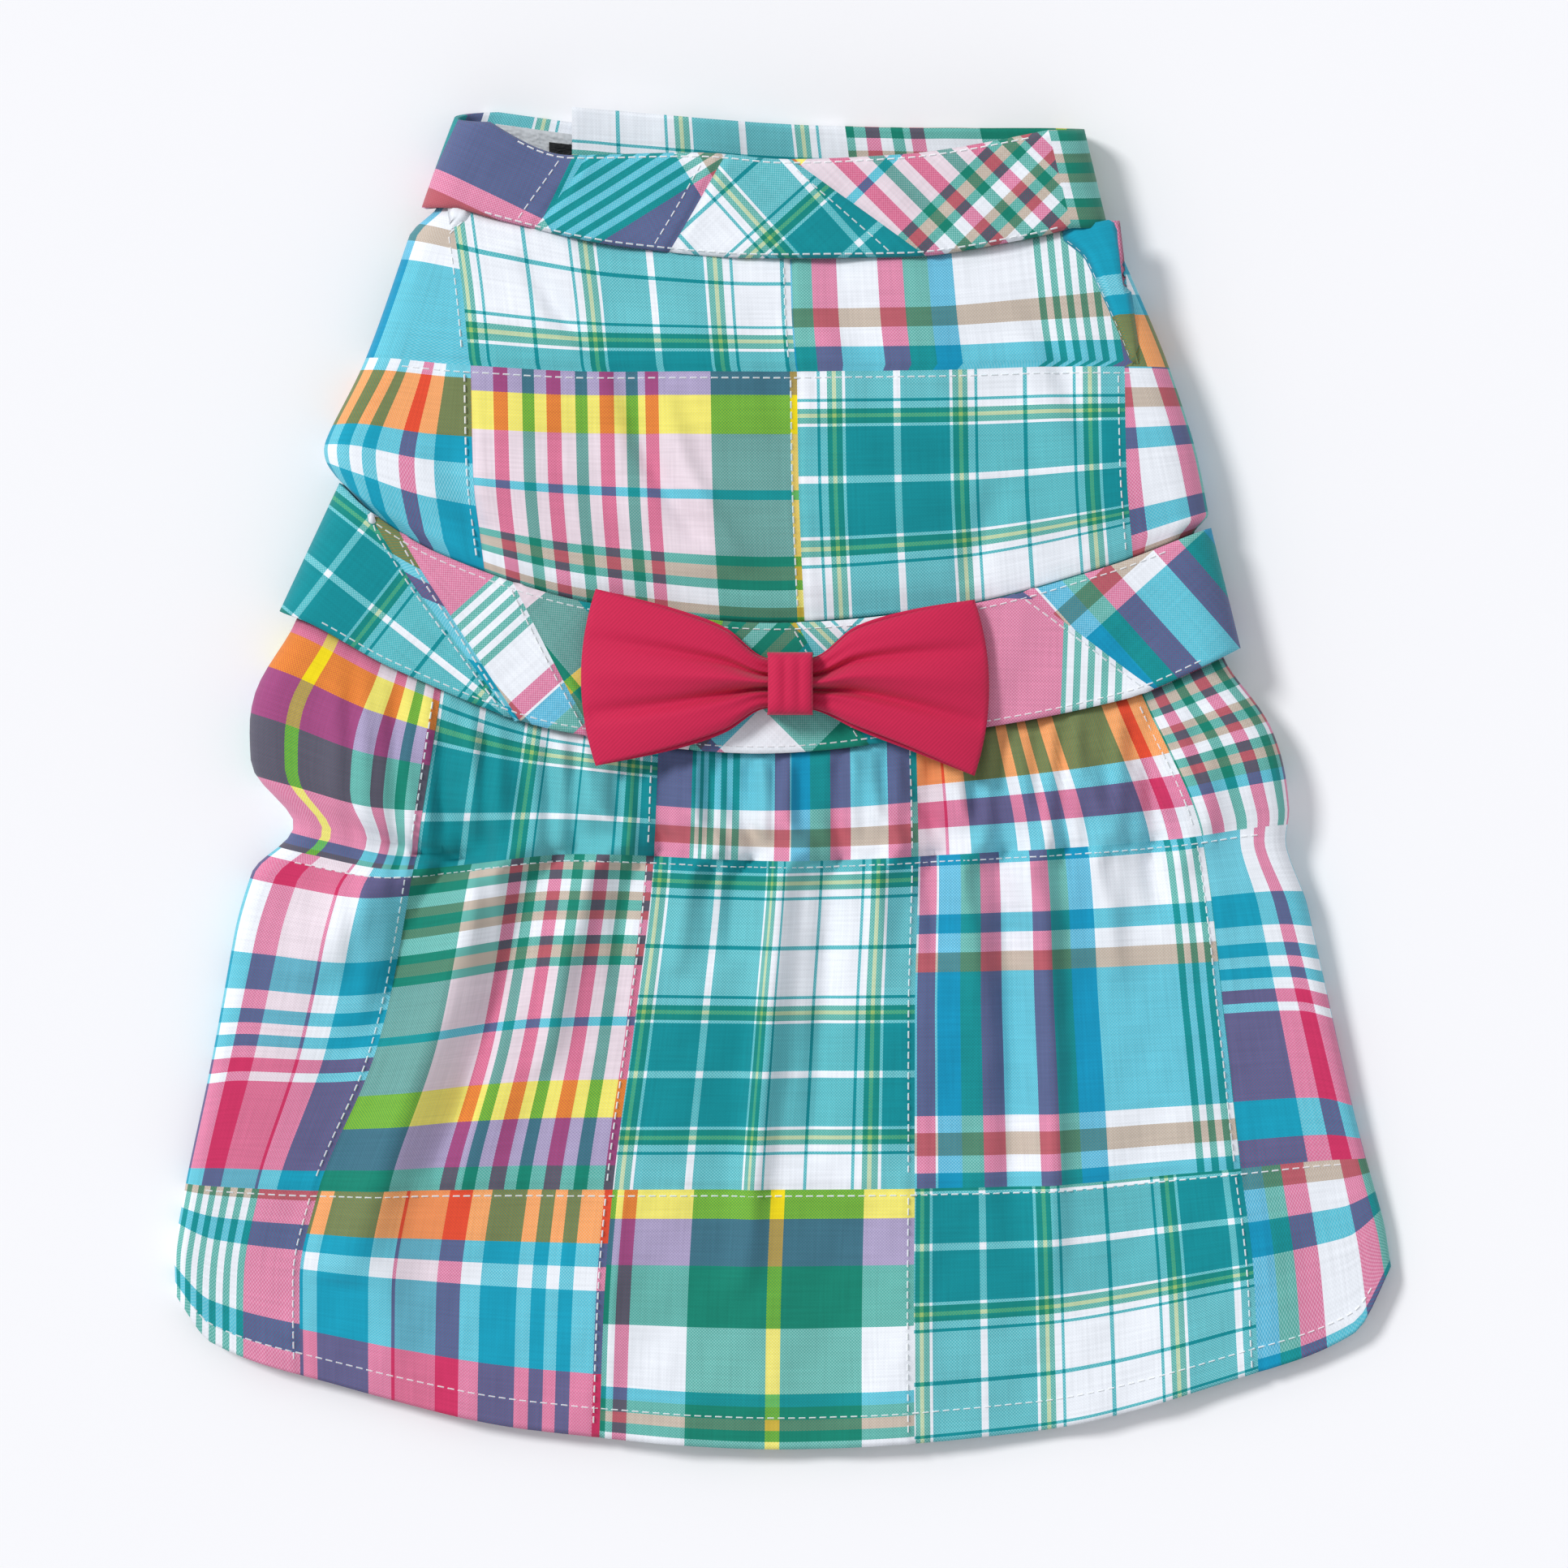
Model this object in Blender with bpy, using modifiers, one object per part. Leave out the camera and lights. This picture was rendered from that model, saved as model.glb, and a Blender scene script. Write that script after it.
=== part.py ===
"""A small dog's dress of patchwork cotton, laid flat with its back up.

The neck end points to +Y, the hem to -Y, and the belly side lies on the surface at Z = 0.
Every cloth piece is its outer surface with a wall set inwards. Lengths are in metres.
"""

import math

import bpy
import numpy as np
from mathutils import Matrix

# Lengths along the middle of the back, from the neck down
NECKBAND_HEIGHT = 0.0232
BODICE_LENGTH = 0.0848
WAISTBAND_HEIGHT = 0.0304
SKIRT_LENGTH = 0.1631
NECK_END_RISE = 0.0137
SEAM_DIP = 0.0330

# Widths from fold to fold
NECK_WIDTH = 0.1606
CHEST_WIDTH = 0.2083
WAIST_WIDTH = 0.2040
WAIST_SEAM_WIDTH = 0.2250
HEM_WIDTH = 0.2854

# Heights of the cloth above the surface that the dress lies on
NECK_RISE = 0.0190
CHEST_RISE = 0.0205
WAIST_RISE = 0.0175
HEM_RISE = 0.0052

# Walls, gaps and the stretch that one piece is tucked under another
CLOTH = 0.0012
BAND_CLOTH = 0.0014
CLEARANCE = 0.0003
TUCK = 0.0030

# Fastenings of the neck and of the belly
TAPE_THICKNESS = 0.0010
LOOP_TAPE_LENGTH = 0.0380
HOOK_TAPE_LENGTH = 0.0250
HOOK_TAPE_SHOWS = 0.0045
NECK_TAPE_HEIGHT = 0.0180
BELLY_TAPE_LENGTH = 0.0180
BELLY_TAPE_HEIGHT = 0.0250
BELLY_LAP = 0.0280
BELLY_CLIMB = 0.0300
NECK_LAP = 0.0240
LEG_EDGE_TURN = 0.0040
WAISTBAND_TURN = 0.0140
SKIRT_TURN = 0.0130

# Bow
BOW_X = 0.0012
BOW_SPAN = 0.0958
BOW_HEIGHT = 0.0412
BOW_WAIST = 0.0100
BOW_THICKNESS = 0.0058
BOW_END_THICKNESS = 0.0040
BOW_RIDGE = 0.0012
BOW_END_ROUND = 0.0040
BOW_TURN_DEG = -1.2
KNOT_WIDTH = 0.0104
KNOT_CLOTH = 0.0012

# Numbers of faces
SKIRT_TOP_FACES = 44
BODICE_TOP_FACES = 26
BAND_TOP_FACES = 22
ROLL_FACES = 5
FLAP_FACES = 8
TURN_FACES = 3
NECK_BACK_FACES = 13
NECK_FRONT_FACES = 26
NECK_END_FACES = 8
BOW_HEIGHT_FACES = 8
KNOT_FACES = 24

# Worked-out places
BAND_STEP = BAND_CLOTH + CLEARANCE
TUCK_INSET = 2 * BAND_STEP
HALF_LENGTH = (
    NECKBAND_HEIGHT + BODICE_LENGTH + WAISTBAND_HEIGHT + SKIRT_LENGTH + NECK_END_RISE
) / 2
WAIST_SEAM_Y = SKIRT_LENGTH - HALF_LENGTH
WAIST_TOP_Y = WAIST_SEAM_Y + WAISTBAND_HEIGHT
NECK_SEAM_Y = WAIST_TOP_Y + BODICE_LENGTH
NECK_TOP_Y = NECK_SEAM_Y + NECKBAND_HEIGHT
TAB_X = -0.308 * NECK_WIDTH
LAP_LEVEL = BAND_CLOTH + 2 * TAPE_THICKNESS + 3 * CLEARANCE

# Where each seam line is known, from its left fold (0) to its right fold (1)
ACROSS = (0.0, 0.03, 0.12, 0.30, 0.50, 0.70, 0.88, 0.97, 1.0)

# How far each seam line stands above its middle, as shares of SEAM_DIP, at the places in ACROSS
NECK_SEAM_LIFT = (0.44, 0.40, 0.27, 0.08, 0.0, 0.01, 0.14, 0.25, 0.28)
CHEST_SEAM_LIFT = (0.11, 0.10, 0.05, 0.00, 0.0, 0.01, 0.04, 0.04, 0.04)
BULGE_LIFT = (0.26, 0.24, 0.12, 0.03, 0.0, 0.02, 0.10, 0.16, 0.19)
WAIST_TOP_LIFT = (1.00, 0.82, 0.48, 0.13, 0.0, 0.11, 0.40, 0.61, 0.68)
WAIST_SEAM_LIFT = (1.01, 0.93, 0.60, 0.15, 0.0, 0.15, 0.39, 0.65, 0.75)
SKIRT_ROW_1_LIFT = (0.10, 0.05, -0.06, 0.05, 0.0, 0.06, 0.15, 0.24, 0.26)
SKIRT_ROW_2_LIFT = (0.04, 0.02, -0.01, 0.00, 0.0, 0.02, 0.14, 0.21, 0.22)
HEM_LIFT = (1.10, 0.76, 0.49, 0.13, 0.0, 0.12, 0.52, 0.83, 1.30)

# Lines of the bodice: share of BODICE_LENGTH from the neck, left and right fold, lift
BODICE_LINES = (
    (0.00, -0.527 * NECK_WIDTH, 0.473 * NECK_WIDTH, NECK_SEAM_LIFT),
    (0.31, -0.469 * CHEST_WIDTH, 0.434 * CHEST_WIDTH, CHEST_SEAM_LIFT),
    (0.62, -0.516 * CHEST_WIDTH, 0.466 * CHEST_WIDTH, BULGE_LIFT),
    (1.00, -0.509 * WAIST_WIDTH, 0.491 * WAIST_WIDTH, WAIST_TOP_LIFT),
)

# Lines of the waistband: share of WAISTBAND_HEIGHT from its upper edge, folds, lift
WAISTBAND_LINES = (
    (0.00, -0.509 * WAIST_WIDTH, 0.491 * WAIST_WIDTH, WAIST_TOP_LIFT),
    (1.00, -0.524 * WAIST_SEAM_WIDTH, 0.476 * WAIST_SEAM_WIDTH, WAIST_SEAM_LIFT),
)

# Lines of the skirt: share of SKIRT_LENGTH from the waist seam, folds, lift
SKIRT_LINES = (
    (0.00, -0.524 * WAIST_SEAM_WIDTH, 0.476 * WAIST_SEAM_WIDTH, WAIST_SEAM_LIFT),
    (0.154, -0.433 * HEM_WIDTH, 0.413 * HEM_WIDTH, SKIRT_ROW_1_LIFT),
    (0.626, -0.486 * HEM_WIDTH, 0.476 * HEM_WIDTH, SKIRT_ROW_2_LIFT),
    (1.00, -0.500 * HEM_WIDTH, 0.500 * HEM_WIDTH, HEM_LIFT),
)

# Bulges and notches of the skirt's folds: share down, left out, right out, as shares of HEM_WIDTH
SKIRT_SIDE_WAVES = (
    (0.00, 0.000, 0.000),
    (0.05, 0.017, 0.006),
    (0.09, 0.012, 0.010),
    (0.135, -0.029, 0.006),
    (0.18, 0.000, -0.004),
    (0.25, 0.006, 0.002),
    (0.45, 0.004, 0.002),
    (0.80, 0.006, 0.004),
    (1.00, 0.000, 0.000),
)

# Heights of the bodice: share down, middle, side, as shares of CHEST_RISE
BODICE_HEIGHTS = (
    (0.00, NECK_RISE / CHEST_RISE, 0.76),
    (0.30, 1.00, 0.80),
    (0.65, 1.00, 0.82),
    (1.00, WAIST_RISE / CHEST_RISE, 0.76),
)

# Heights of the skirt: share down, middle, side, as shares of WAIST_RISE
SKIRT_HEIGHTS = (
    (0.00, 0.97, 0.86),
    (0.10, 0.86, 0.80),
    (0.16, 0.78, 0.62),
    (0.30, 0.62, 0.52),
    (0.62, 0.44, 0.40),
    (1.00, HEM_RISE / WAIST_RISE, 0.28),
)

# Reach of the bodice's turned-under part: share down, share of the way from leg edge to full flap
FLAP_REACH = (
    (0.00, 0.0),
    (0.12, 0.0),
    (0.20, 1.0),
    (0.88, 1.0),
    (0.94, 0.0),
    (1.00, 0.0),
)

# Rows of the bodice's cloth: share down, how far it is tucked, how much of the band's step it gives way
BODICE_ROWS = (
    (0.00, 1.0, 1.0),
    (0.00, 0.0, 1.0),
    (0.06, 0.0, 0.3),
    (0.12, 0.0, 0.0),
    (0.20, 0.0, 0.0),
    (0.28, 0.0, 0.0),
    (0.37, 0.0, 0.0),
    (0.46, 0.0, 0.0),
    (0.56, 0.0, 0.0),
    (0.66, 0.0, 0.0),
    (0.77, 0.0, 0.0),
    (0.88, 0.0, 0.0),
    (0.94, 0.0, 0.5),
    (1.00, 0.0, 1.0),
    (1.00, -1.0, 1.0),
)

# Rows of the skirt's cloth, in the same columns
SKIRT_ROWS = (
    (0.00, 1.0, 1.0),
    (0.00, 0.0, 1.0),
    (0.035, 0.0, 0.3),
    (0.07, 0.0, 0.0),
    (0.10, 0.0, 0.0),
    (0.135, 0.0, 0.0),
    (0.17, 0.0, 0.0),
    (0.22, 0.0, 0.0),
    (0.29, 0.0, 0.0),
    (0.37, 0.0, 0.0),
    (0.46, 0.0, 0.0),
    (0.56, 0.0, 0.0),
    (0.66, 0.0, 0.0),
    (0.76, 0.0, 0.0),
    (0.86, 0.0, 0.0),
    (0.94, 0.0, 0.0),
    (1.00, 0.0, 0.0),
)
WAISTBAND_ROWS = (0.0, 0.33, 0.67, 1.0)

# Folds of the bodice: across at its top and foot, down from and to, half width, height
# Across in shares of the line, down in shares of BODICE_LENGTH, the last two of CHEST_RISE
BODICE_FOLDS = (
    (0.12, 0.30, 0.05, 0.32, 0.20, -0.10),
    (0.30, 0.42, 0.30, 0.80, 0.22, -0.12),
    (0.36, 0.47, 0.34, 0.86, 0.20, 0.08),
    (0.10, 0.16, 0.50, 0.98, 0.25, -0.14),
    (0.88, 0.92, 0.10, 0.60, 0.24, -0.08),
    (0.80, 0.74, 0.60, 0.95, 0.26, -0.06),
    (0.55, 0.62, 0.08, 0.40, 0.30, 0.06),
)

# Folds of the skirt, in the same columns: down in shares of SKIRT_LENGTH, the last two of WAIST_RISE
SKIRT_FOLDS = (
    (0.05, 0.07, 0.02, 0.12, 0.70, 0.20),
    (0.03, 0.16, 0.12, 0.15, 0.50, -0.30),
    (0.10, 0.05, 0.15, 0.30, 0.60, 0.18),
    (0.17, 0.13, 0.03, 0.40, 0.32, -0.22),
    (0.23, 0.13, 0.04, 0.80, 0.50, 0.34),
    (0.29, 0.20, 0.04, 0.62, 0.30, -0.16),
    (0.335, 0.29, 0.02, 0.46, 0.26, 0.20),
    (0.375, 0.35, 0.02, 0.34, 0.20, -0.12),
    (0.43, 0.41, 0.02, 0.32, 0.20, 0.16),
    (0.475, 0.46, 0.02, 0.30, 0.18, -0.14),
    (0.52, 0.47, 0.02, 0.78, 0.26, 0.26),
    (0.57, 0.53, 0.02, 0.60, 0.22, -0.14),
    (0.62, 0.60, 0.02, 0.34, 0.22, 0.16),
    (0.665, 0.655, 0.02, 0.30, 0.18, -0.10),
    (0.70, 0.69, 0.02, 0.36, 0.20, 0.16),
    (0.74, 0.70, 0.02, 0.72, 0.26, -0.16),
    (0.775, 0.73, 0.02, 0.80, 0.26, 0.24),
    (0.84, 0.82, 0.02, 0.34, 0.22, 0.14),
    (0.90, 0.88, 0.03, 0.26, 0.24, -0.16),
    (0.96, 0.92, 0.03, 0.20, 0.34, 0.20),
    (0.86, 0.93, 0.45, 0.98, 0.60, 0.12),
    (0.36, 0.34, 0.62, 1.00, 0.60, 0.10),
    (0.62, 0.60, 0.60, 1.00, 0.60, 0.12),
    (0.16, 0.18, 0.66, 1.00, 0.50, 0.10),
)

# Edges of the neckband on the front: across, x as a share of NECK_WIDTH, lift as a share of NECK_END_RISE
NECK_TOP_EDGE = (
    (0.00, -0.479, 1.00),
    (0.18, -0.308, 0.07),
    (0.38, -0.125, 0.11),
    (0.53, 0.006, 0.00),
    (0.72, 0.160, 0.07),
    (1.00, 0.439, 0.63),
)

# Upper edge of the neckband's back part, and of its end under the left side, in the same columns
NECK_BACK_EDGE = (
    (0.00, TAB_X / NECK_WIDTH, 0.96),
    (0.35, -0.020, 0.70),
    (0.70, 0.200, 0.63),
    (1.00, 0.439, 0.63),
)

# Upper edges of the neckband's hidden end and of its tab: fall for each length across
LOWER_END_SLANT = 0.14
TAB_SLANT = 0.12

# Sections of the bow: share of the way from knot to end, share of the way from waist to full height
BOW_SECTIONS = (
    (0.00, 0.00),
    (0.07, 0.00),
    (0.13, 0.04),
    (0.21, 0.22),
    (0.31, 0.43),
    (0.43, 0.56),
    (0.58, 0.68),
    (0.74, 0.81),
    (0.88, 0.92),
    (1.00, 1.00),
)
BOW_PLEATS = 2.0

# Sides of the knot, and how square its ring is: 1 is an ellipse, less is squarer
KNOT_EDGES = (-0.50 * KNOT_WIDTH, -0.44 * KNOT_WIDTH, 0.44 * KNOT_WIDTH, 0.50 * KNOT_WIDTH)
KNOT_ROUNDNESS = 0.35

# Shape of every fold along its length, its fading towards the sides, and the tops' crown
FOLD_FULLNESS = 0.6
FOLD_EDGE = 10.0
CROWN_FLATNESS = 2.5
BELLY_TAPE_DOWN = 0.36

# Colour and roughness of each piece
FINISHES = {
    "neckband": ((0.02, 0.30, 0.34), 0.85),
    "neck_loop_tape": ((0.62, 0.64, 0.66), 0.95),
    "neck_hook_tape": ((0.02, 0.02, 0.02), 0.60),
    "bodice": ((0.10, 0.42, 0.46), 0.85),
    "belly_tape": ((0.70, 0.71, 0.72), 0.95),
    "waistband": ((0.05, 0.34, 0.40), 0.85),
    "skirt": ((0.03, 0.36, 0.38), 0.85),
    "bow_loops": ((0.61, 0.02, 0.08), 0.80),
    "bow_knot": ((0.56, 0.02, 0.07), 0.80),
}


def smooth_between(places, values, at):
    """A smooth curve through the values that never swings past them."""
    places = np.asarray(places, float)
    values = np.asarray(values, float)
    steps = np.diff(places)
    slopes = np.diff(values) / steps
    tangents = np.zeros(len(values))
    tangents[0] = slopes[0]
    tangents[-1] = slopes[-1]
    same_way = slopes[:-1] * slopes[1:] > 0
    mean = 2 * slopes[:-1] * slopes[1:] / np.where(same_way, slopes[:-1] + slopes[1:], 1.0)
    tangents[1:-1] = np.where(same_way, mean, 0.0)
    at = np.clip(np.asarray(at, float), places[0], places[-1])
    index = np.clip(np.searchsorted(places, at, side="right") - 1, 0, len(steps) - 1)
    step = steps[index]
    t = (at - places[index]) / step
    start = values[index] * (1 + 2 * t) * (1 - t) ** 2
    start = start + tangents[index] * step * t * (1 - t) ** 2
    end = values[index + 1] * t**2 * (3 - 2 * t)
    return start + end - tangents[index + 1] * step * t**2 * (1 - t)


def ease(way):
    """0 to 1 with a soft start and a soft end."""
    way = np.clip(way, 0, 1)
    return way**2 * (3 - 2 * way)


def column(table, number):
    return [row[number] for row in table]


def read(table, number, at):
    """One column of a table, read smoothly at a single place of its first column."""
    return float(smooth_between(column(table, 0), column(table, number), [at])[0])


def seam_height(lines, middle_y, length, down, across):
    """The y of a cloth at each place across, between the seam lines that bound it."""
    known = [
        middle_y - share * length + smooth_between(ACROSS, lift, across) * SEAM_DIP
        for share, _, _, lift in lines
    ]
    known = np.array(known)
    places = column(lines, 0)
    return np.array([smooth_between(places, known[:, i], [down])[0] for i in range(len(across))])


def folds_at(folds, across, down, width, rise):
    """The height that the folds add at each place across, in one row at this share down."""
    total = np.zeros(len(across))
    for top, foot, start, end, half_width, height in folds:
        if not start < down < end:
            continue
        way = (down - start) / (end - start)
        centre = top + (foot - top) * way
        swell = math.sin(math.pi * way) ** FOLD_FULLNESS
        gap = (across - centre) * width / (half_width * rise)
        total = total + height * rise * swell * np.exp(-(gap**2))
    return total * np.clip(FOLD_EDGE * np.minimum(across, 1 - across), 0, 1)


def side_profile(across, middle, side):
    """The top's height from fold to fold: flat in the middle and lower towards the sides."""
    return side + (middle - side) * (1 - np.abs(2 * across - 1) ** CROWN_FLATNESS)


def wrapped_row(left, right, top_z, floor, y_of, turns, under_z):
    """One row of a cloth whose sides roll under: left flap, roll, top, roll, right flap.

    The rolls are half circles as high as the cloth's sides. turns holds how far each face of the
    left and of the right flap reaches inwards, and under_z their height over the floor.
    """
    across = np.linspace(0, 1, len(top_z))
    left_radius = (top_z[0] - floor) / 2
    right_radius = (top_z[-1] - floor) / 2
    inner_left = left + left_radius
    inner_right = right - right_radius
    angles = np.linspace(0, math.pi, ROLL_FACES + 1)[1:]
    top_x = inner_left + (inner_right - inner_left) * across
    left_x = inner_left - left_radius * np.sin(angles)
    left_z = floor + left_radius * (1 + np.cos(angles))
    right_x = inner_right + right_radius * np.sin(angles)
    right_z = floor + right_radius * (1 + np.cos(angles))
    left_flap = (inner_left + turns[0])[::-1]
    right_flap = inner_right - turns[1]
    left_y = y_of((left_x - left) / (right - left))[::-1]
    right_y = y_of((right_x - left) / (right - left))
    top_y = y_of((top_x - left) / (right - left))
    left_flap_y = np.full(len(left_flap), left_y[0])
    right_flap_y = np.full(len(right_flap), right_y[-1])
    x = np.concatenate((left_flap, left_x[::-1], top_x, right_x, right_flap))
    y = np.concatenate((left_flap_y, left_y, top_y, right_y, right_flap_y))
    flap_z = (floor + under_z(left_flap, "left"), floor + under_z(right_flap, "right"))
    z = np.concatenate((flap_z[0], left_z[::-1], top_z, right_z, flap_z[1]))
    return np.stack((x, y, z), axis=1)


def flat_under(x, side):
    return np.zeros(len(x))


def belly_level(x, side):
    """The left flap lies flat. The right flap climbs over it and over the tape between them."""
    if side == "left":
        return np.zeros(len(x))
    level = CLOTH + TAPE_THICKNESS + 2 * CLEARANCE
    return level * ease((BELLY_LAP / 2 + 1.4 * BELLY_CLIMB - x) / BELLY_CLIMB)


def bodice_rows():
    """The back panel with its rolled sides, and below them the two belly flaps."""
    across = np.linspace(0, 1, BODICE_TOP_FACES + 1)
    steps = np.arange(1, FLAP_FACES + 1) / FLAP_FACES
    rows = []
    for down, tucked, gives_way in BODICE_ROWS:
        left = read(BODICE_LINES, 1, down)
        right = read(BODICE_LINES, 2, down)
        inset = TUCK_INSET * gives_way
        middle = read(BODICE_HEIGHTS, 1, down) * CHEST_RISE
        side = read(BODICE_HEIGHTS, 2, down) * CHEST_RISE
        top_z = side_profile(across, middle, side)
        top_z = top_z + folds_at(BODICE_FOLDS, across, down, right - left, CHEST_RISE)
        reach = float(np.interp(down, column(FLAP_REACH, 0), column(FLAP_REACH, 1)))
        full = (BELLY_LAP / 2 - left - side / 2, BELLY_LAP / 2 + right - side / 2)
        turns = [steps * (LEG_EDGE_TURN + (turn - LEG_EDGE_TURN) * reach) for turn in full]

        def y_of(share, down=down, tucked=tucked):
            at = np.clip(share, 0, 1)
            return seam_height(BODICE_LINES, NECK_SEAM_Y, BODICE_LENGTH, down, at) + TUCK * tucked

        floor = BAND_STEP * gives_way
        rows.append(
            wrapped_row(left + inset, right - inset, top_z, floor, y_of, turns, belly_level)
        )
    return np.array(rows)


def waistband_rows():
    """The curved strip over the waist seam, its ends turned under."""
    across = np.linspace(0, 1, BAND_TOP_FACES + 1)
    turn = np.arange(1, TURN_FACES + 1) / TURN_FACES * WAISTBAND_TURN
    bodice_end = BODICE_HEIGHTS[-1]
    skirt_start = SKIRT_HEIGHTS[0]
    rows = []
    for down in WAISTBAND_ROWS:
        left = read(WAISTBAND_LINES, 1, down)
        right = read(WAISTBAND_LINES, 2, down)
        upper = np.array(bodice_end[1:]) * CHEST_RISE
        lower = np.array(skirt_start[1:]) * WAIST_RISE
        middle, side = upper + (lower - upper) * down
        top_z = side_profile(across, middle, side) + BAND_STEP

        def y_of(share, down=down):
            at = np.clip(share, 0, 1)
            return seam_height(WAISTBAND_LINES, WAIST_TOP_Y, WAISTBAND_HEIGHT, down, at)

        rows.append(wrapped_row(left, right, top_z, 0.0, y_of, (turn, turn), flat_under))
    return np.array(rows)


def skirt_rows():
    """One gathered layer, its sides turned under and its hem curved."""
    across = np.linspace(0, 1, SKIRT_TOP_FACES + 1)
    turn = np.arange(1, TURN_FACES + 1) / TURN_FACES * SKIRT_TURN
    rows = []
    for down, tucked, gives_way in SKIRT_ROWS:
        left = read(SKIRT_LINES, 1, down) - read(SKIRT_SIDE_WAVES, 1, down) * HEM_WIDTH
        right = read(SKIRT_LINES, 2, down) + read(SKIRT_SIDE_WAVES, 2, down) * HEM_WIDTH
        inset = TUCK_INSET * gives_way
        middle = read(SKIRT_HEIGHTS, 1, down) * WAIST_RISE
        side = read(SKIRT_HEIGHTS, 2, down) * WAIST_RISE
        top_z = side_profile(across, middle, side)
        top_z = top_z + folds_at(SKIRT_FOLDS, across, down, right - left, WAIST_RISE)
        top_z = np.maximum(top_z, CLOTH + CLEARANCE)

        def y_of(share, down=down, tucked=tucked):
            at = np.clip(share, 0, 1)
            return seam_height(SKIRT_LINES, WAIST_SEAM_Y, SKIRT_LENGTH, down, at) + TUCK * tucked

        floor = BAND_STEP * gives_way
        rows.append(
            wrapped_row(left + inset, right - inset, top_z, floor, y_of, (turn, turn), flat_under)
        )
    return np.array(rows)


def neckband_rows():
    """The strip's path: tab end, back part, right fold, front, left fold and lower end."""
    rise = NECK_RISE + BAND_STEP
    side = BODICE_HEIGHTS[0][2] * CHEST_RISE + BAND_STEP
    radius = side / 2
    seam_left = BODICE_LINES[0][1]
    seam_right = BODICE_LINES[0][2]
    places = column(NECK_TOP_EDGE, 0)
    edge_x = np.array(column(NECK_TOP_EDGE, 1)) * NECK_WIDTH
    edge_lift = np.array(column(NECK_TOP_EDGE, 2)) * NECK_END_RISE
    back_places = np.array(column(NECK_BACK_EDGE, 1)) * NECK_WIDTH
    back_lift = np.array(column(NECK_BACK_EDGE, 2)) * NECK_END_RISE
    angles = np.linspace(0, math.pi, ROLL_FACES + 1)
    turning = (1 - np.cos(angles)) / 2
    rows = []
    for up in (0.0, 0.5, 1.0):
        inner_left = seam_left + (edge_x[0] - seam_left) * up + radius
        inner_right = seam_right + (edge_x[-1] - seam_right) * up - radius

        front_x = np.linspace(inner_right, inner_left, NECK_FRONT_FACES + 1)
        edge_across = smooth_between(edge_x, places, front_x)
        upper_y = NECK_TOP_Y + smooth_between(places, edge_lift, edge_across)
        seam_across = np.clip((front_x - seam_left) / (seam_right - seam_left), 0, 1)
        lower_y = NECK_SEAM_Y + smooth_between(ACROSS, NECK_SEAM_LIFT, seam_across) * SEAM_DIP
        front_y = lower_y + (upper_y - lower_y) * up
        front_across = (front_x - inner_left) / (inner_right - inner_left)
        front_z = side_profile(front_across, rise, side)

        back_x = np.linspace(TAB_X, inner_right, NECK_BACK_FACES + 1)
        back_y = NECK_TOP_Y + smooth_between(back_places, back_lift, back_x)
        back_y = back_y - NECKBAND_HEIGHT * (1 - up)
        back_z = LAP_LEVEL * ease((TAB_X + 2.2 * NECK_LAP - back_x) / (1.1 * NECK_LAP))

        end_x = np.linspace(inner_left, TAB_X + NECK_LAP, NECK_END_FACES + 1)
        end_y = lower_end_y(end_x) - NECKBAND_HEIGHT * (1 - up)

        right_x = inner_right + radius * np.sin(angles)
        right_y = back_y[-1] + (front_y[0] - back_y[-1]) * turning
        left_x = inner_left - radius * np.sin(angles)
        left_y = front_y[-1] + (end_y[0] - front_y[-1]) * turning

        x = np.concatenate((back_x, right_x[1:-1], front_x, left_x[1:-1], end_x))
        y = np.concatenate((back_y, right_y[1:-1], front_y, left_y[1:-1], end_y))
        right_z = side * turning[1:-1]
        left_z = side * (1 - turning[1:-1])
        z = np.concatenate((back_z, right_z, front_z, left_z, np.zeros(len(end_x))))
        rows.append(np.stack((x, y, z), axis=1))
    return np.array(rows)


def lower_end_y(x):
    """Upper edge of the neckband's lower end, which slants down under the tab."""
    corner = NECK_TOP_EDGE[0][1] * NECK_WIDTH
    return NECK_TOP_Y + NECK_END_RISE - (x - corner) * LOWER_END_SLANT


def bow_rows():
    """The bow's band, a closed loop: the front from left to right, then the back to the left."""
    reach = np.array(column(BOW_SECTIONS, 0))
    way = np.concatenate((-reach[:0:-1], reach))
    out = np.abs(way)
    half = smooth_between(column(BOW_SECTIONS, 0), column(BOW_SECTIONS, 1), out)
    half = (BOW_WAIST + (BOW_HEIGHT - BOW_WAIST) * half) / 2
    thick = BOW_THICKNESS + (BOW_END_THICKNESS - BOW_THICKNESS) * out
    full = BOW_END_THICKNESS * 0.5 * np.sin(math.pi * out)
    back_z = np.full(len(way), -BOW_THICKNESS / 2)
    rows = []
    for up in np.linspace(1, -1, BOW_HEIGHT_FACES + 1):
        pleats = BOW_RIDGE * (1 - out) * math.cos(BOW_PLEATS * math.pi * up)
        front_z = back_z + thick + (full + pleats) * (1 - up**4)
        tip = BOW_SPAN / 2 - BOW_END_ROUND * up**2
        x = way * (BOW_SPAN / 2 - BOW_END_ROUND * up**2 * out)
        front = np.stack((x, half * up, front_z), axis=1)
        back = np.stack((x, half * up, back_z), axis=1)[::-1]
        end_z = back_z[0] + BOW_END_THICKNESS / 2
        right_end = np.array([[tip + BOW_END_THICKNESS / 4, half[-1] * up, end_z]])
        left_end = np.array([[-tip - BOW_END_THICKNESS / 4, half[0] * up, end_z]])
        rows.append(np.concatenate((front, right_end, back, left_end)))
    return np.array(rows)


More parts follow.
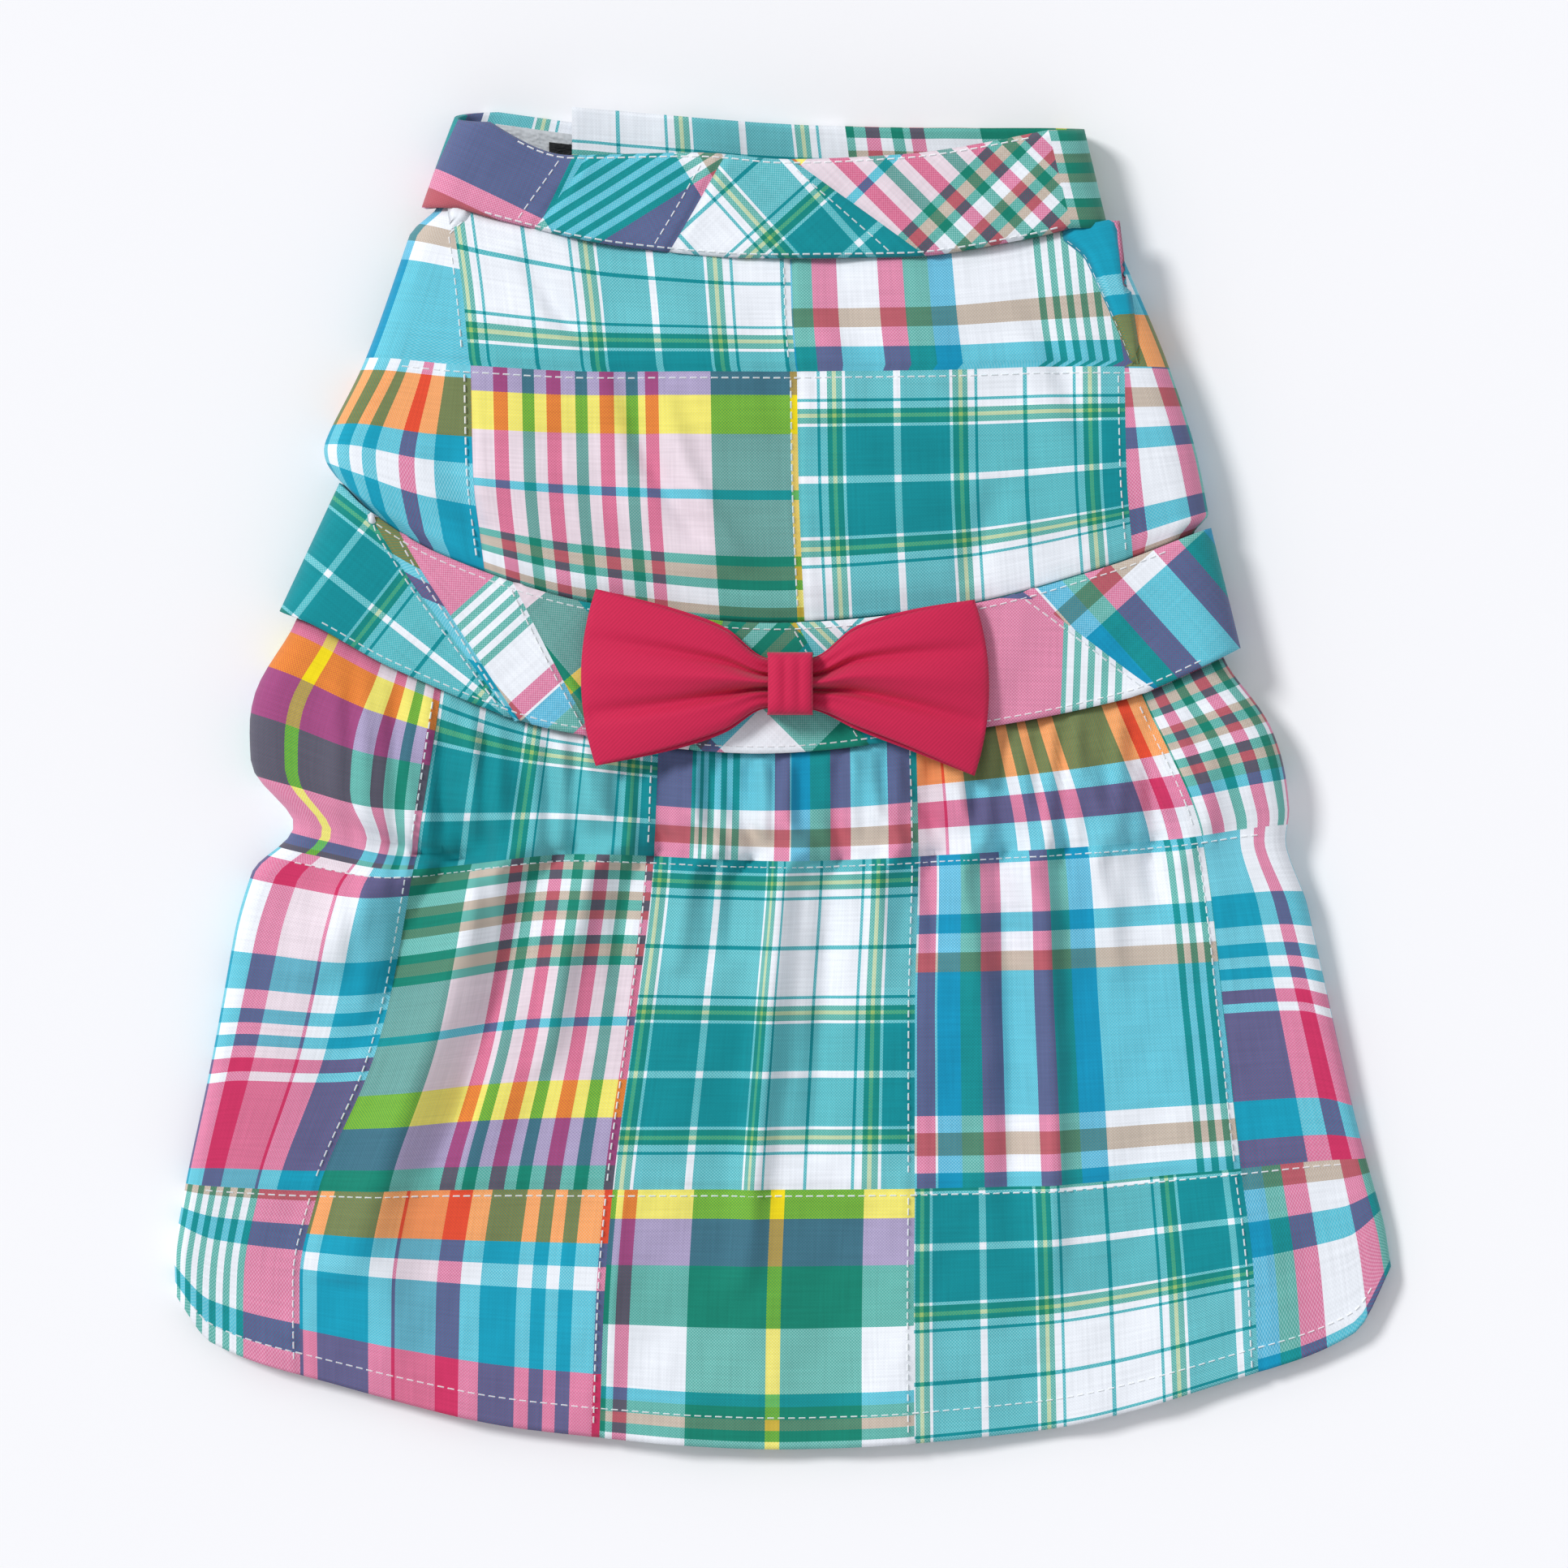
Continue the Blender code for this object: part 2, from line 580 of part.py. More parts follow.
def knot_rows():
    """The strip round the bow's waist: a rounded ring, a little narrower in its middle."""
    half_height = BOW_WAIST / 2 + 2 * CLEARANCE + KNOT_CLOTH
    low = -BOW_THICKNESS / 2 - CLEARANCE - KNOT_CLOTH
    high = BOW_THICKNESS / 2 + BOW_RIDGE + CLEARANCE + KNOT_CLOTH
    angles = np.arange(KNOT_FACES) / KNOT_FACES * 2 * math.pi
    y = np.sign(np.cos(angles)) * np.abs(np.cos(angles)) ** KNOT_ROUNDNESS * half_height
    z = np.sign(np.sin(angles)) * np.abs(np.sin(angles)) ** KNOT_ROUNDNESS * (high - low) / 2
    z = z + (high + low) / 2
    rows = [np.stack((np.full(KNOT_FACES, x), y, z), axis=1) for x in KNOT_EDGES[::-1]]
    return np.array(rows)


def cloth(name, rows, wall, round_loop=False):
    """A grid laid out on the rows' points, with its wall set inwards by Solidify."""
    down, along = rows.shape[:2]
    number = np.arange(down * along).reshape(down, along)
    if round_loop:
        number = np.concatenate((number, number[:, :1]), axis=1)
    corners = (number[:-1, :-1], number[1:, :-1], number[1:, 1:], number[:-1, 1:])
    faces = np.stack(corners, axis=-1).reshape(-1, 4)
    mesh = bpy.data.meshes.new(name)
    mesh.from_pydata(rows.reshape(-1, 3).tolist(), [], faces.tolist())
    mesh.shade_smooth()
    piece = bpy.data.objects.new(name, mesh)
    inwards = piece.modifiers.new("wall", "SOLIDIFY")
    inwards.thickness = wall
    inwards.offset = -1
    inwards.use_even_offset = True
    inwards.thickness_clamp = 1
    return piece


def tape(name, length, height):
    """A flat fastening tape with softened edges, lying on its own origin."""
    bpy.ops.mesh.primitive_cube_add(size=1)
    piece = bpy.context.active_object
    for group in list(piece.users_collection):
        group.objects.unlink(piece)
    piece.name = name
    piece.data.name = name
    piece.data.transform(Matrix.Diagonal((length, height, TAPE_THICKNESS, 1)))
    edge = piece.modifiers.new("soft_edge", "BEVEL")
    edge.width = TAPE_THICKNESS / 4
    edge.segments = 1
    return piece


def finish(name):
    material = bpy.data.materials.new(name)
    material.use_nodes = True
    shader = material.node_tree.nodes["Principled BSDF"]
    colour, roughness = FINISHES[name]
    shader.inputs["Base Color"].default_value = (*colour, 1)
    shader.inputs["Roughness"].default_value = roughness
    shader.inputs["Metallic"].default_value = 0.0
    return material


def place(piece, location, turn=0.0):
    piece.location = location
    piece.rotation_euler = (0, 0, turn)
    return piece


def neck_tapes():
    """The soft tape lies on the strip's lower end, and the hook tape over it, under the tab."""
    loop_x = TAB_X + NECK_LAP - LOOP_TAPE_LENGTH / 2 - TUCK
    loop_y = lower_end_y(loop_x) - NECKBAND_HEIGHT / 2
    loop_z = BAND_CLOTH + CLEARANCE + TAPE_THICKNESS / 2
    loop = tape("neck_loop_tape", LOOP_TAPE_LENGTH, NECK_TAPE_HEIGHT)
    place(loop, (loop_x, loop_y, loop_z), -math.atan(LOWER_END_SLANT))
    hook_x = TAB_X - HOOK_TAPE_SHOWS + HOOK_TAPE_LENGTH / 2
    hook_y = NECK_TOP_Y + NECK_BACK_EDGE[0][2] * NECK_END_RISE - NECKBAND_HEIGHT / 2
    hook_z = loop_z + TAPE_THICKNESS + CLEARANCE
    hook = tape("neck_hook_tape", HOOK_TAPE_LENGTH, NECK_TAPE_HEIGHT)
    place(hook, (hook_x, hook_y, hook_z), -math.atan(TAB_SLANT))
    return [loop, hook]


def belly_tape():
    y = NECK_SEAM_Y - BELLY_TAPE_DOWN * BODICE_LENGTH
    z = CLOTH + CLEARANCE + TAPE_THICKNESS / 2
    return place(tape("belly_tape", BELLY_TAPE_LENGTH, BELLY_TAPE_HEIGHT), (0, y, z))


def bow():
    """The bow on the middle of the waistband. Both its pieces hang on one empty."""
    seat = bpy.data.objects.new("bow_seat", None)
    band_top = BODICE_HEIGHTS[-1][1] * CHEST_RISE + BAND_STEP
    middle_y = WAIST_SEAM_Y + WAISTBAND_HEIGHT / 2
    bow_z = band_top + 2 * CLEARANCE + KNOT_CLOTH + BOW_THICKNESS / 2
    place(seat, (BOW_X, middle_y, bow_z), math.radians(BOW_TURN_DEG))
    loops = cloth("bow_loops", bow_rows(), CLOTH, round_loop=True)
    knot = cloth("bow_knot", knot_rows(), KNOT_CLOTH, round_loop=True)
    loops.parent = seat
    knot.parent = seat
    return [seat, loops, knot]


def main():
    for old in list(bpy.data.objects):
        bpy.data.objects.remove(old, do_unlink=True)
    dress = bpy.data.collections.new("dog_dress")
    bpy.context.scene.collection.children.link(dress)
    pieces = [
        cloth("neckband", neckband_rows(), BAND_CLOTH),
        cloth("bodice", bodice_rows(), CLOTH),
        cloth("waistband", waistband_rows(), BAND_CLOTH),
        cloth("skirt", skirt_rows(), CLOTH),
        belly_tape(),
    ]
    pieces += neck_tapes()
    pieces += bow()
    for piece in pieces:
        dress.objects.link(piece)
        if piece.type == "MESH":
            piece.data.materials.append(finish(piece.name))


main()
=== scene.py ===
"""Looks of a small dog's dress of patchwork madras cotton, lying flat with its back up.

Each cloth is a numpy surface cut along its patch seams, with its own UV map in millimetres of
cloth, so that the plaid runs with every patch. Stitches, bow and fastenings are built the same
way. Tables are in millimetres or in shares, and every builder turns them into metres.
"""

import logging
import math
from dataclasses import dataclass, field
from enum import Enum

import bpy
import numpy as np
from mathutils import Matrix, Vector


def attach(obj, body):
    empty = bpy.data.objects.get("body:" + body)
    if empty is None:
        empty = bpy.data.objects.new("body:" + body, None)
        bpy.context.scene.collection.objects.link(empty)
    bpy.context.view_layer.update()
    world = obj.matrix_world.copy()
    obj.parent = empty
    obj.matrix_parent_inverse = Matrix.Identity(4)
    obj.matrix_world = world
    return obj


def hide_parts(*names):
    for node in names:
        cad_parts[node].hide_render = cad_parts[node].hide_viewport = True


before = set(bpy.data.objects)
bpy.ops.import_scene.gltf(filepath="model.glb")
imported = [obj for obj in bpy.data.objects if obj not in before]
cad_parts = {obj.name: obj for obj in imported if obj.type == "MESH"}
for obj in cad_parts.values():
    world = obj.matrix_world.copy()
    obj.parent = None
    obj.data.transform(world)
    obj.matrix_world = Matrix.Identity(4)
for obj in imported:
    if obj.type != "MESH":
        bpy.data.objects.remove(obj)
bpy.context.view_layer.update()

log = logging.getLogger("dog_dress")
MM = 0.001

# Millimetres of the dress, the same as in its CAD model
NECKBAND_HEIGHT = 23.2
BODICE_LENGTH = 84.8
WAISTBAND_HEIGHT = 30.4
SKIRT_LENGTH = 163.1
NECK_END_RISE = 13.7
SEAM_DIP = 33.0
NECK_WIDTH = 160.6
CHEST_WIDTH = 208.3
WAIST_WIDTH = 204.0
WAIST_SEAM_WIDTH = 225.0
HEM_WIDTH = 285.4
NECK_RISE = 19.0
CHEST_RISE = 20.5
WAIST_RISE = 17.5
HEM_RISE = 5.2
BAND_STEP = 1.7
BELLY_LAP = 28.0
HALF_LENGTH = (
    NECKBAND_HEIGHT + BODICE_LENGTH + WAISTBAND_HEIGHT + SKIRT_LENGTH + NECK_END_RISE
) / 2
WAIST_SEAM_Y = SKIRT_LENGTH - HALF_LENGTH
WAIST_TOP_Y = WAIST_SEAM_Y + WAISTBAND_HEIGHT
NECK_SEAM_Y = WAIST_TOP_Y + BODICE_LENGTH
NECK_TOP_Y = NECK_SEAM_Y + NECKBAND_HEIGHT

# Columns of points on each rolled side and on each part turned under, and the column just
# under the left fold, from which the first patches are measured
ROLL_COLUMNS = 12
FLAP_COLUMNS = 12
MEASURE_COLUMN = 16

# Where the seam lines are known across, and how far each stands above its middle
ACROSS = (0.0, 0.03, 0.12, 0.30, 0.50, 0.70, 0.88, 0.97, 1.0)
NECK_SEAM = (0.44, 0.40, 0.27, 0.08, 0.0, 0.01, 0.14, 0.25, 0.28)
CHEST_SEAM = (0.11, 0.10, 0.05, 0.00, 0.0, 0.01, 0.04, 0.04, 0.04)
CHEST_BULGE = (0.26, 0.24, 0.12, 0.03, 0.0, 0.02, 0.10, 0.16, 0.19)
WAIST_TOP = (1.00, 0.82, 0.48, 0.13, 0.0, 0.11, 0.40, 0.61, 0.68)
WAIST_SEAM = (1.01, 0.93, 0.60, 0.15, 0.0, 0.15, 0.39, 0.65, 0.75)
SKIRT_ROW_1 = (0.10, 0.05, -0.06, 0.05, 0.0, 0.06, 0.15, 0.24, 0.26)
SKIRT_ROW_2 = (0.04, 0.02, -0.01, 0.00, 0.0, 0.02, 0.14, 0.21, 0.22)
HEM = (1.10, 0.76, 0.49, 0.13, 0.0, 0.12, 0.52, 0.83, 1.30)


class Yarn(Enum):
    """Dyed cotton yarns of the four cloths, as sRGB hex."""

    WHITE = "E6EAF0"
    TEAL = "088790"
    TURQUOISE = "1098B4"
    BLUE = "0A86B8"
    GREEN = "107E6A"
    LIME = "94B46A"
    RASPBERRY = "C83260"
    PALE_PINK = "DCBCC6"
    LILAC = "745F94"
    YELLOW = "EDD61A"
    ORANGE = "F06710"
    TAN = "A1866A"


def stripes(text: str) -> tuple:
    """Reads stripes written as colour and width in millimetres, such as 'W 1.6 T 11.4'.

    Args:
        text: Letters of yarns, each followed by the stripe's width.

    Returns:
        Pairs of yarn and width.
    """
    letters = dict(zip("WTQBGMRPLYOA", Yarn))
    words = text.split()
    return tuple((letters[name], float(width)) for name, width in zip(words[::2], words[1::2]))


@dataclass(frozen=True)
class Cloth:
    """A madras cloth: its warp stripes run down the patch, its weft stripes across."""

    name: str
    warp: tuple
    weft: tuple


WINDOWPANE = (
    "W 1.6 T 11.4 W 0.8 G 1.4 M 0.8 G 1.3 W 1.5 T 0.8 W 10.8 T 0.9 W 10.8 T 0.8 W 1.5 "
    "G 1.3 M 0.8 G 1.4 W 0.8 T 11.4"
)
CLOTHS = (
    Cloth("teal_windowpane", stripes(WINDOWPANE), stripes(WINDOWPANE)),
    Cloth(
        "raspberry_green_stripe",
        stripes(
            "R 3.3 W 3 G 3 W 3 R 3.3 W 3 G 3 W 3 R 3.3 W 3 G 2.5 W 2 R 3.4 W 13.5 G 18.6 Y 3.3 "
            "G 18.8 W 13.5 R 14.5 Y 3.2 R 14 W 6"
        ),
        stripes(
            "L 11 Y 9.2 P 12.8 Q 2.2 P 12.4 G 2.3 A 2.8 G 2.3 W 3.8 A 2.1 G 2.6 A 2.2 W 3 G 2.5 "
            "A 2.6 G 3 Q 3 W 15.6 G 15"
        ),
    ),
    Cloth(
        "turquoise_orange_check",
        stripes(
            "Q 15.8 W 5.5 Q 3.6 W 2.7 Q 3.4 W 3.6 Q 12.4 W 5.5 R 0.9 P 10 R 5.3 W 4.9 Q 8.5 W 3.6 "
            "Q 3.4 W 2.7 Q 3.6 W 5.5 R 3.8 W 5"
        ),
        stripes(
            "R 15 Q 17.5 W 5.5 Q 4.8 O 14 W 5 R 6.5 W 17 Q 8.8 W 4.5 Q 3.1 W 3 Q 2.9 W 2.9 R 3.1 "
            "W 2.7 R 21 Q 8"
        ),
    ),
    Cloth(
        "pink_blue_pinstripe",
        stripes(
            "B 5.3 G 5 R 5.9 W 9.5 R 6.1 G 6.1 B 5.9 W 19.6 G 1.6 W 1.6 G 1.6 W 1.6 G 1.6 W 1.6 "
            "G 1.6 W 1.6 G 1.6 W 1.6 G 1.6 R 28 G 1.6 W 1.6 G 1.6 W 1.6 G 1.6 W 1.6 G 1.6 W 1.6 "
            "G 1.6 W 10 R 4.4 W 1"
        ),
        stripes(
            "W 30 A 5 W 4.8 Q 33.5 W 4.4 A 4.8 W 4.8 Q 4.8 W 12 Q 4.6 W 4.4 A 4.9 Q 33.5 W 4.4 "
            "A 4.8 W 4.4 Q 4.8"
        ),
    ),
)


@dataclass(frozen=True)
class Patch:
    """One cut piece: its cloth, where in the repeat it starts, which ways it runs, and its turn."""

    cloth: int
    warp_start: float
    weft_start: float
    warp_way: int = 1
    weft_way: int = 1
    turn_deg: float = 0.0


# Lines of each cloth: share down, left fold, right fold in mm, lift of the line
BODICE_LINES = (
    (0.00, -0.527 * NECK_WIDTH, 0.473 * NECK_WIDTH, NECK_SEAM),
    (0.31, -0.469 * CHEST_WIDTH, 0.434 * CHEST_WIDTH, CHEST_SEAM),
    (0.62, -0.516 * CHEST_WIDTH, 0.466 * CHEST_WIDTH, CHEST_BULGE),
    (1.00, -0.509 * WAIST_WIDTH, 0.491 * WAIST_WIDTH, WAIST_TOP),
)
WAISTBAND_LINES = (
    (0.00, -0.509 * WAIST_WIDTH, 0.491 * WAIST_WIDTH, WAIST_TOP),
    (1.00, -0.524 * WAIST_SEAM_WIDTH, 0.476 * WAIST_SEAM_WIDTH, WAIST_SEAM),
)
SKIRT_LINES = (
    (0.00, -0.524 * WAIST_SEAM_WIDTH, 0.476 * WAIST_SEAM_WIDTH, WAIST_SEAM),
    (0.154, -0.433 * HEM_WIDTH, 0.413 * HEM_WIDTH, SKIRT_ROW_1),
    (0.626, -0.486 * HEM_WIDTH, 0.476 * HEM_WIDTH, SKIRT_ROW_2),
    (1.00, -0.500 * HEM_WIDTH, 0.500 * HEM_WIDTH, HEM),
)

# Bulges and notches of the skirt's sides: share down, left out, right out, in shares of HEM_WIDTH
SKIRT_SIDE_WAVES = (
    (0.00, 0.000, 0.000),
    (0.05, 0.017, 0.006),
    (0.09, 0.012, 0.010),
    (0.135, -0.029, 0.006),
    (0.18, 0.000, -0.004),
    (0.25, 0.006, 0.002),
    (0.45, 0.004, 0.002),
    (0.80, 0.006, 0.004),
    (1.00, 0.000, 0.000),
)

# Heights: share down, middle, side, in mm
BODICE_HEIGHTS = (
    (0.00, NECK_RISE, 0.76 * CHEST_RISE),
    (0.30, CHEST_RISE, 0.80 * CHEST_RISE),
    (0.65, CHEST_RISE, 0.82 * CHEST_RISE),
    (1.00, WAIST_RISE, 0.76 * CHEST_RISE),
)
WAISTBAND_HEIGHTS = (
    (0.00, WAIST_RISE + BAND_STEP, 0.76 * CHEST_RISE + BAND_STEP),
    (1.00, 0.97 * WAIST_RISE + BAND_STEP, 0.86 * WAIST_RISE + BAND_STEP),
)
SKIRT_HEIGHTS = (
    (0.00, 0.97 * WAIST_RISE, 0.86 * WAIST_RISE),
    (0.10, 0.86 * WAIST_RISE, 0.80 * WAIST_RISE),
    (0.16, 0.78 * WAIST_RISE, 0.62 * WAIST_RISE),
    (0.30, 0.62 * WAIST_RISE, 0.52 * WAIST_RISE),
    (0.62, 0.44 * WAIST_RISE, 0.40 * WAIST_RISE),
    (1.00, HEM_RISE, 0.28 * WAIST_RISE),
)
FLAP_REACH = ((0.00, 0.0), (0.12, 0.0), (0.20, 1.0), (0.88, 1.0), (0.94, 0.0), (1.00, 0.0))

# Patch seams that run down, x in mm at each share down, in the order of the columns' seams
SKIRT_SEAMS = (
    (0.00, -79.8, -29.1, 31.0, 83.6),
    (0.154, -86.4, -30.2, 31.6, 97.8),
    (0.39, -95.0, -34.8, 30.8, 103.2),
    (0.626, -108.9, -39.9, 30.8, 107.2),
    (0.80, -113.4, -42.0, 30.6, 110.0),
    (1.00, -113.2, -43.1, 30.8, 111.5),
)
BODICE_UPPER_SEAMS = (
    (0.00, -77.5, 1.6, 78.6),
    (0.16, -74.6, 2.0, 80.6),
    (0.31, -73.0, 3.0, 82.8),
)
BODICE_LOWER_SEAMS = (
    (0.31, -72.8, 3.2, 79.6),
    (0.62, -72.2, 3.6, 80.0),
    (1.00, -69.6, 5.0, 81.6),
)
# Slanted seams of the waistband: share down, then the x of each seam
WAISTBAND_SEAMS = (
    (0.00, -97.0, -89.5, -63.0, -14.0, 3.0, 40.0, 55.9),
    (1.00, -63.0, -61.4, -44.0, -22.0, 20.0, 46.0, 86.5),
)

# Patches by row and column
SKIRT_PATCHES = (
    (
        Patch(1, 104.4, 23.7, weft_way=-1),
        Patch(0, 48.0, 40.0),
        Patch(3, 100.3, 60.0),
        Patch(2, 60.8, 44.4, warp_way=-1),
        Patch(1, 9.0, 47.6),
    ),
    (
        Patch(2, 78.3, 58.6, warp_way=-1),
        Patch(1, 70.1, 76.3, warp_way=-1, weft_way=-1),
        Patch(0, 44.3, 9.5),
        Patch(3, 133.4, 89.6),
        Patch(2, 13.0, 69.3, warp_way=-1),
    ),
    (
        Patch(3, 60.0, 81.0),
        Patch(2, 30.4, 55.2, weft_way=-1),
        Patch(1, 32.5, 18.2, weft_way=-1),
        Patch(0, 44.3, 47.4),
        Patch(3, 0.0, 79.5),
    ),
)
BODICE_PATCHES = (
    (Patch(3, 34.0, 24.0), Patch(0, 14.5, 24.0), Patch(3, 5.0, 18.0), Patch(2, 8.0, 18.0)),
    (
        Patch(2, 73.6, 60.4, weft_way=-1),
        Patch(1, 138.5, 5.5),
        Patch(0, 37.5, 35.6),
        Patch(3, 13.0, 73.3),
    ),
)
WAISTBAND_PATCHES = (
    (
        Patch(0, 52.0, 44.0, turn_deg=-38),
        Patch(2, 4.0, 46.0),
        Patch(3, 92.0, 28.0, turn_deg=-48),
        Patch(1, 50.0, 48.0, turn_deg=-50),
        Patch(1, 60.0, 60.0, turn_deg=45),
        Patch(0, 14.0, 20.0, turn_deg=45),
        Patch(3, 84.0, 1.0, turn_deg=-2),
        Patch(3, 6.0, 12.0, turn_deg=42),
    ),
)

# Folds: across at top and foot, share down from and to, half width and height in mm
BODICE_FOLDS = (
    (0.12, 0.30, 0.05, 0.32, 4.1, -2.0),
    (0.30, 0.42, 0.30, 0.80, 4.5, -2.4),
    (0.36, 0.47, 0.34, 0.86, 4.1, 1.6),
    (0.10, 0.16, 0.50, 0.98, 5.1, -2.8),
    (0.88, 0.92, 0.10, 0.60, 4.9, -1.6),
    (0.80, 0.74, 0.60, 0.95, 5.3, -1.2),
    (0.55, 0.62, 0.08, 0.40, 6.1, 1.2),
)
SKIRT_FOLDS = (
    (0.05, 0.07, 0.02, 0.12, 12.2, 3.5),
    (0.03, 0.16, 0.12, 0.15, 8.8, -5.2),
    (0.10, 0.05, 0.15, 0.30, 10.5, 3.2),
    (0.17, 0.13, 0.03, 0.40, 5.6, -3.8),
    (0.23, 0.13, 0.04, 0.80, 8.8, 6.0),
    (0.29, 0.20, 0.04, 0.62, 5.2, -2.8),
    (0.335, 0.29, 0.02, 0.46, 4.5, 3.5),
    (0.375, 0.35, 0.02, 0.34, 3.5, -2.1),
    (0.43, 0.41, 0.02, 0.32, 3.5, 2.8),
    (0.475, 0.46, 0.02, 0.30, 3.2, -2.5),
    (0.52, 0.47, 0.02, 0.78, 4.5, 4.6),
    (0.57, 0.53, 0.02, 0.60, 3.9, -2.5),
    (0.62, 0.60, 0.02, 0.34, 3.9, 2.8),
    (0.665, 0.655, 0.02, 0.30, 3.2, -1.8),
    (0.70, 0.69, 0.02, 0.36, 3.5, 2.8),
    (0.74, 0.70, 0.02, 0.72, 4.5, -2.8),
    (0.775, 0.73, 0.02, 0.80, 4.5, 4.2),
    (0.84, 0.82, 0.02, 0.34, 3.9, 2.5),
    (0.90, 0.88, 0.03, 0.26, 4.2, -2.8),
    (0.96, 0.92, 0.03, 0.20, 6.0, 3.5),
    (0.86, 0.93, 0.45, 0.98, 10.5, 2.1),
    (0.36, 0.34, 0.62, 1.00, 10.5, 1.8),
    (0.62, 0.60, 0.60, 1.00, 10.5, 2.1),
    (0.16, 0.18, 0.66, 1.00, 8.8, 1.8),
)


def smooth_between(places: tuple | list, values: list | np.ndarray, at: np.ndarray) -> np.ndarray:
    """A monotone cubic curve through the values, one curve for each place asked for.

    Args:
        places: Where the values are known.
        values: The known values, one row for each place, or one column of them.
        at: The places asked for.

    Returns:
        The value at each place asked for.
    """
    places = np.asarray(places, float)
    at = np.atleast_1d(np.asarray(at, float))
    values = np.asarray(values, float)
    if values.ndim == 1:
        values = np.repeat(values[:, None], at.size, axis=1)
    steps = np.diff(places)
    slopes = np.diff(values, axis=0) / steps[:, None]
    tangents = np.zeros_like(values)
    tangents[0] = slopes[0]
    tangents[-1] = slopes[-1]
    same_way = slopes[:-1] * slopes[1:] > 0
    mean = 2 * slopes[:-1] * slopes[1:] / np.where(same_way, slopes[:-1] + slopes[1:], 1.0)
    tangents[1:-1] = np.where(same_way, mean, 0.0)
    at = np.clip(at, places[0], places[-1])
    index = np.clip(np.searchsorted(places, at, side="right") - 1, 0, len(steps) - 1)
    pick = np.arange(at.size)
    step = steps[index]
    t = (at - places[index]) / step
    low = values[index, pick] * (1 + 2 * t) * (1 - t) ** 2
    low = low + tangents[index, pick] * step * t * (1 - t) ** 2
    high = values[index + 1, pick] * t**2 * (3 - 2 * t)
    return low + high - tangents[index + 1, pick] * step * t**2 * (1 - t)


def column(table: tuple, number: int) -> list:
    """One column of a table."""
    return [row[number] for row in table]


def reach_along(line: np.ndarray) -> np.ndarray:
    """The length in mm from a line's first point to each of its points."""
    return np.concatenate(([0.0], np.cumsum(np.linalg.norm(np.diff(line, axis=0), axis=1))))


def ease(way: np.ndarray) -> np.ndarray:
    """0 to 1 with a soft start and a soft end."""
    way = np.clip(way, 0, 1)
    return way**2 * (3 - 2 * way)


def wrinkles(x: np.ndarray, y: np.ndarray, seed: int) -> np.ndarray:
    """Soft random unevenness of unironed cotton: sines of many directions added up.

    Args:
        x: Places across, in mm.
        y: Places along, in mm.
        seed: Picks another set of wrinkles.

    Returns:
        Height in mm at each place.
    """
    chance = np.random.default_rng(seed)
    total = np.zeros_like(x)
    for length in (11.0, 14.0, 18.0, 24.0, 33.0, 46.0):
        angle = chance.uniform(0, math.pi)
        bend = 0.6 * np.sin(y / length + chance.uniform(0, 6))
        phase = (x * math.cos(angle) + y * math.sin(angle)) / length * 2 * math.pi
        total = total + np.sin(phase + bend + chance.uniform(0, 6)) * length * 0.010
    return total


def seam_relief(distance: np.ndarray, along: np.ndarray) -> np.ndarray:
    """A pressed seam: a groove, a low lip beside it and the pucker that its thread pulls in.

    Args:
        distance: Distance from the seam in mm.
        along: Places along the seam in mm.

    Returns:
        Height in mm at each place.
    """
    groove = -0.55 * np.exp(-((distance / 0.7) ** 2))
    lip = 0.28 * np.exp(-(((distance - 2.0) / 1.1) ** 2))
    pucker = 0.16 * np.sin(along * 1.1) * np.sin(along * 0.37 + 1) * np.exp(-((distance / 3.5) ** 2))
    return groove + lip + pucker


def add_grid(
    name: str, grid: np.ndarray, uv: np.ndarray, indices: np.ndarray, finishes: list, wall: float
) -> bpy.types.Object:
    """A cloth from a grid of points, with corner UVs, patch materials and a wall set inwards.

    Args:
        name: The piece's name.
        grid: Points in mm, rows by columns by three.
        uv: UVs in mm of cloth for the four corners of every face.
        indices: The material of every face.
        finishes: The materials, in the order that the indices mean.
        wall: Thickness in mm.

    Returns:
        The new object.
    """
    down, along = grid.shape[:2]
    number = np.arange(down * along).reshape(down, along)
    corners = (number[:-1, :-1], number[1:, :-1], number[1:, 1:], number[:-1, 1:])
    faces = np.stack(corners, axis=-1).reshape(-1, 4)
    mesh = bpy.data.meshes.new(name)
    mesh.from_pydata((grid.reshape(-1, 3) * MM).tolist(), [], faces.tolist())
    layer = mesh.uv_layers.new(name="cloth")
    layer.data.foreach_set("uv", uv.reshape(-1).astype(np.float32))
    for finish in finishes:
        mesh.materials.append(finish)
    mesh.polygons.foreach_set("material_index", indices.reshape(-1).astype(np.int32))
    mesh.shade_smooth()
    piece = bpy.data.objects.new(name, mesh)
    bpy.context.scene.collection.objects.link(piece)
    inwards = piece.modifiers.new("wall", "SOLIDIFY")
    inwards.thickness = wall * MM
    inwards.offset = -1
    return piece


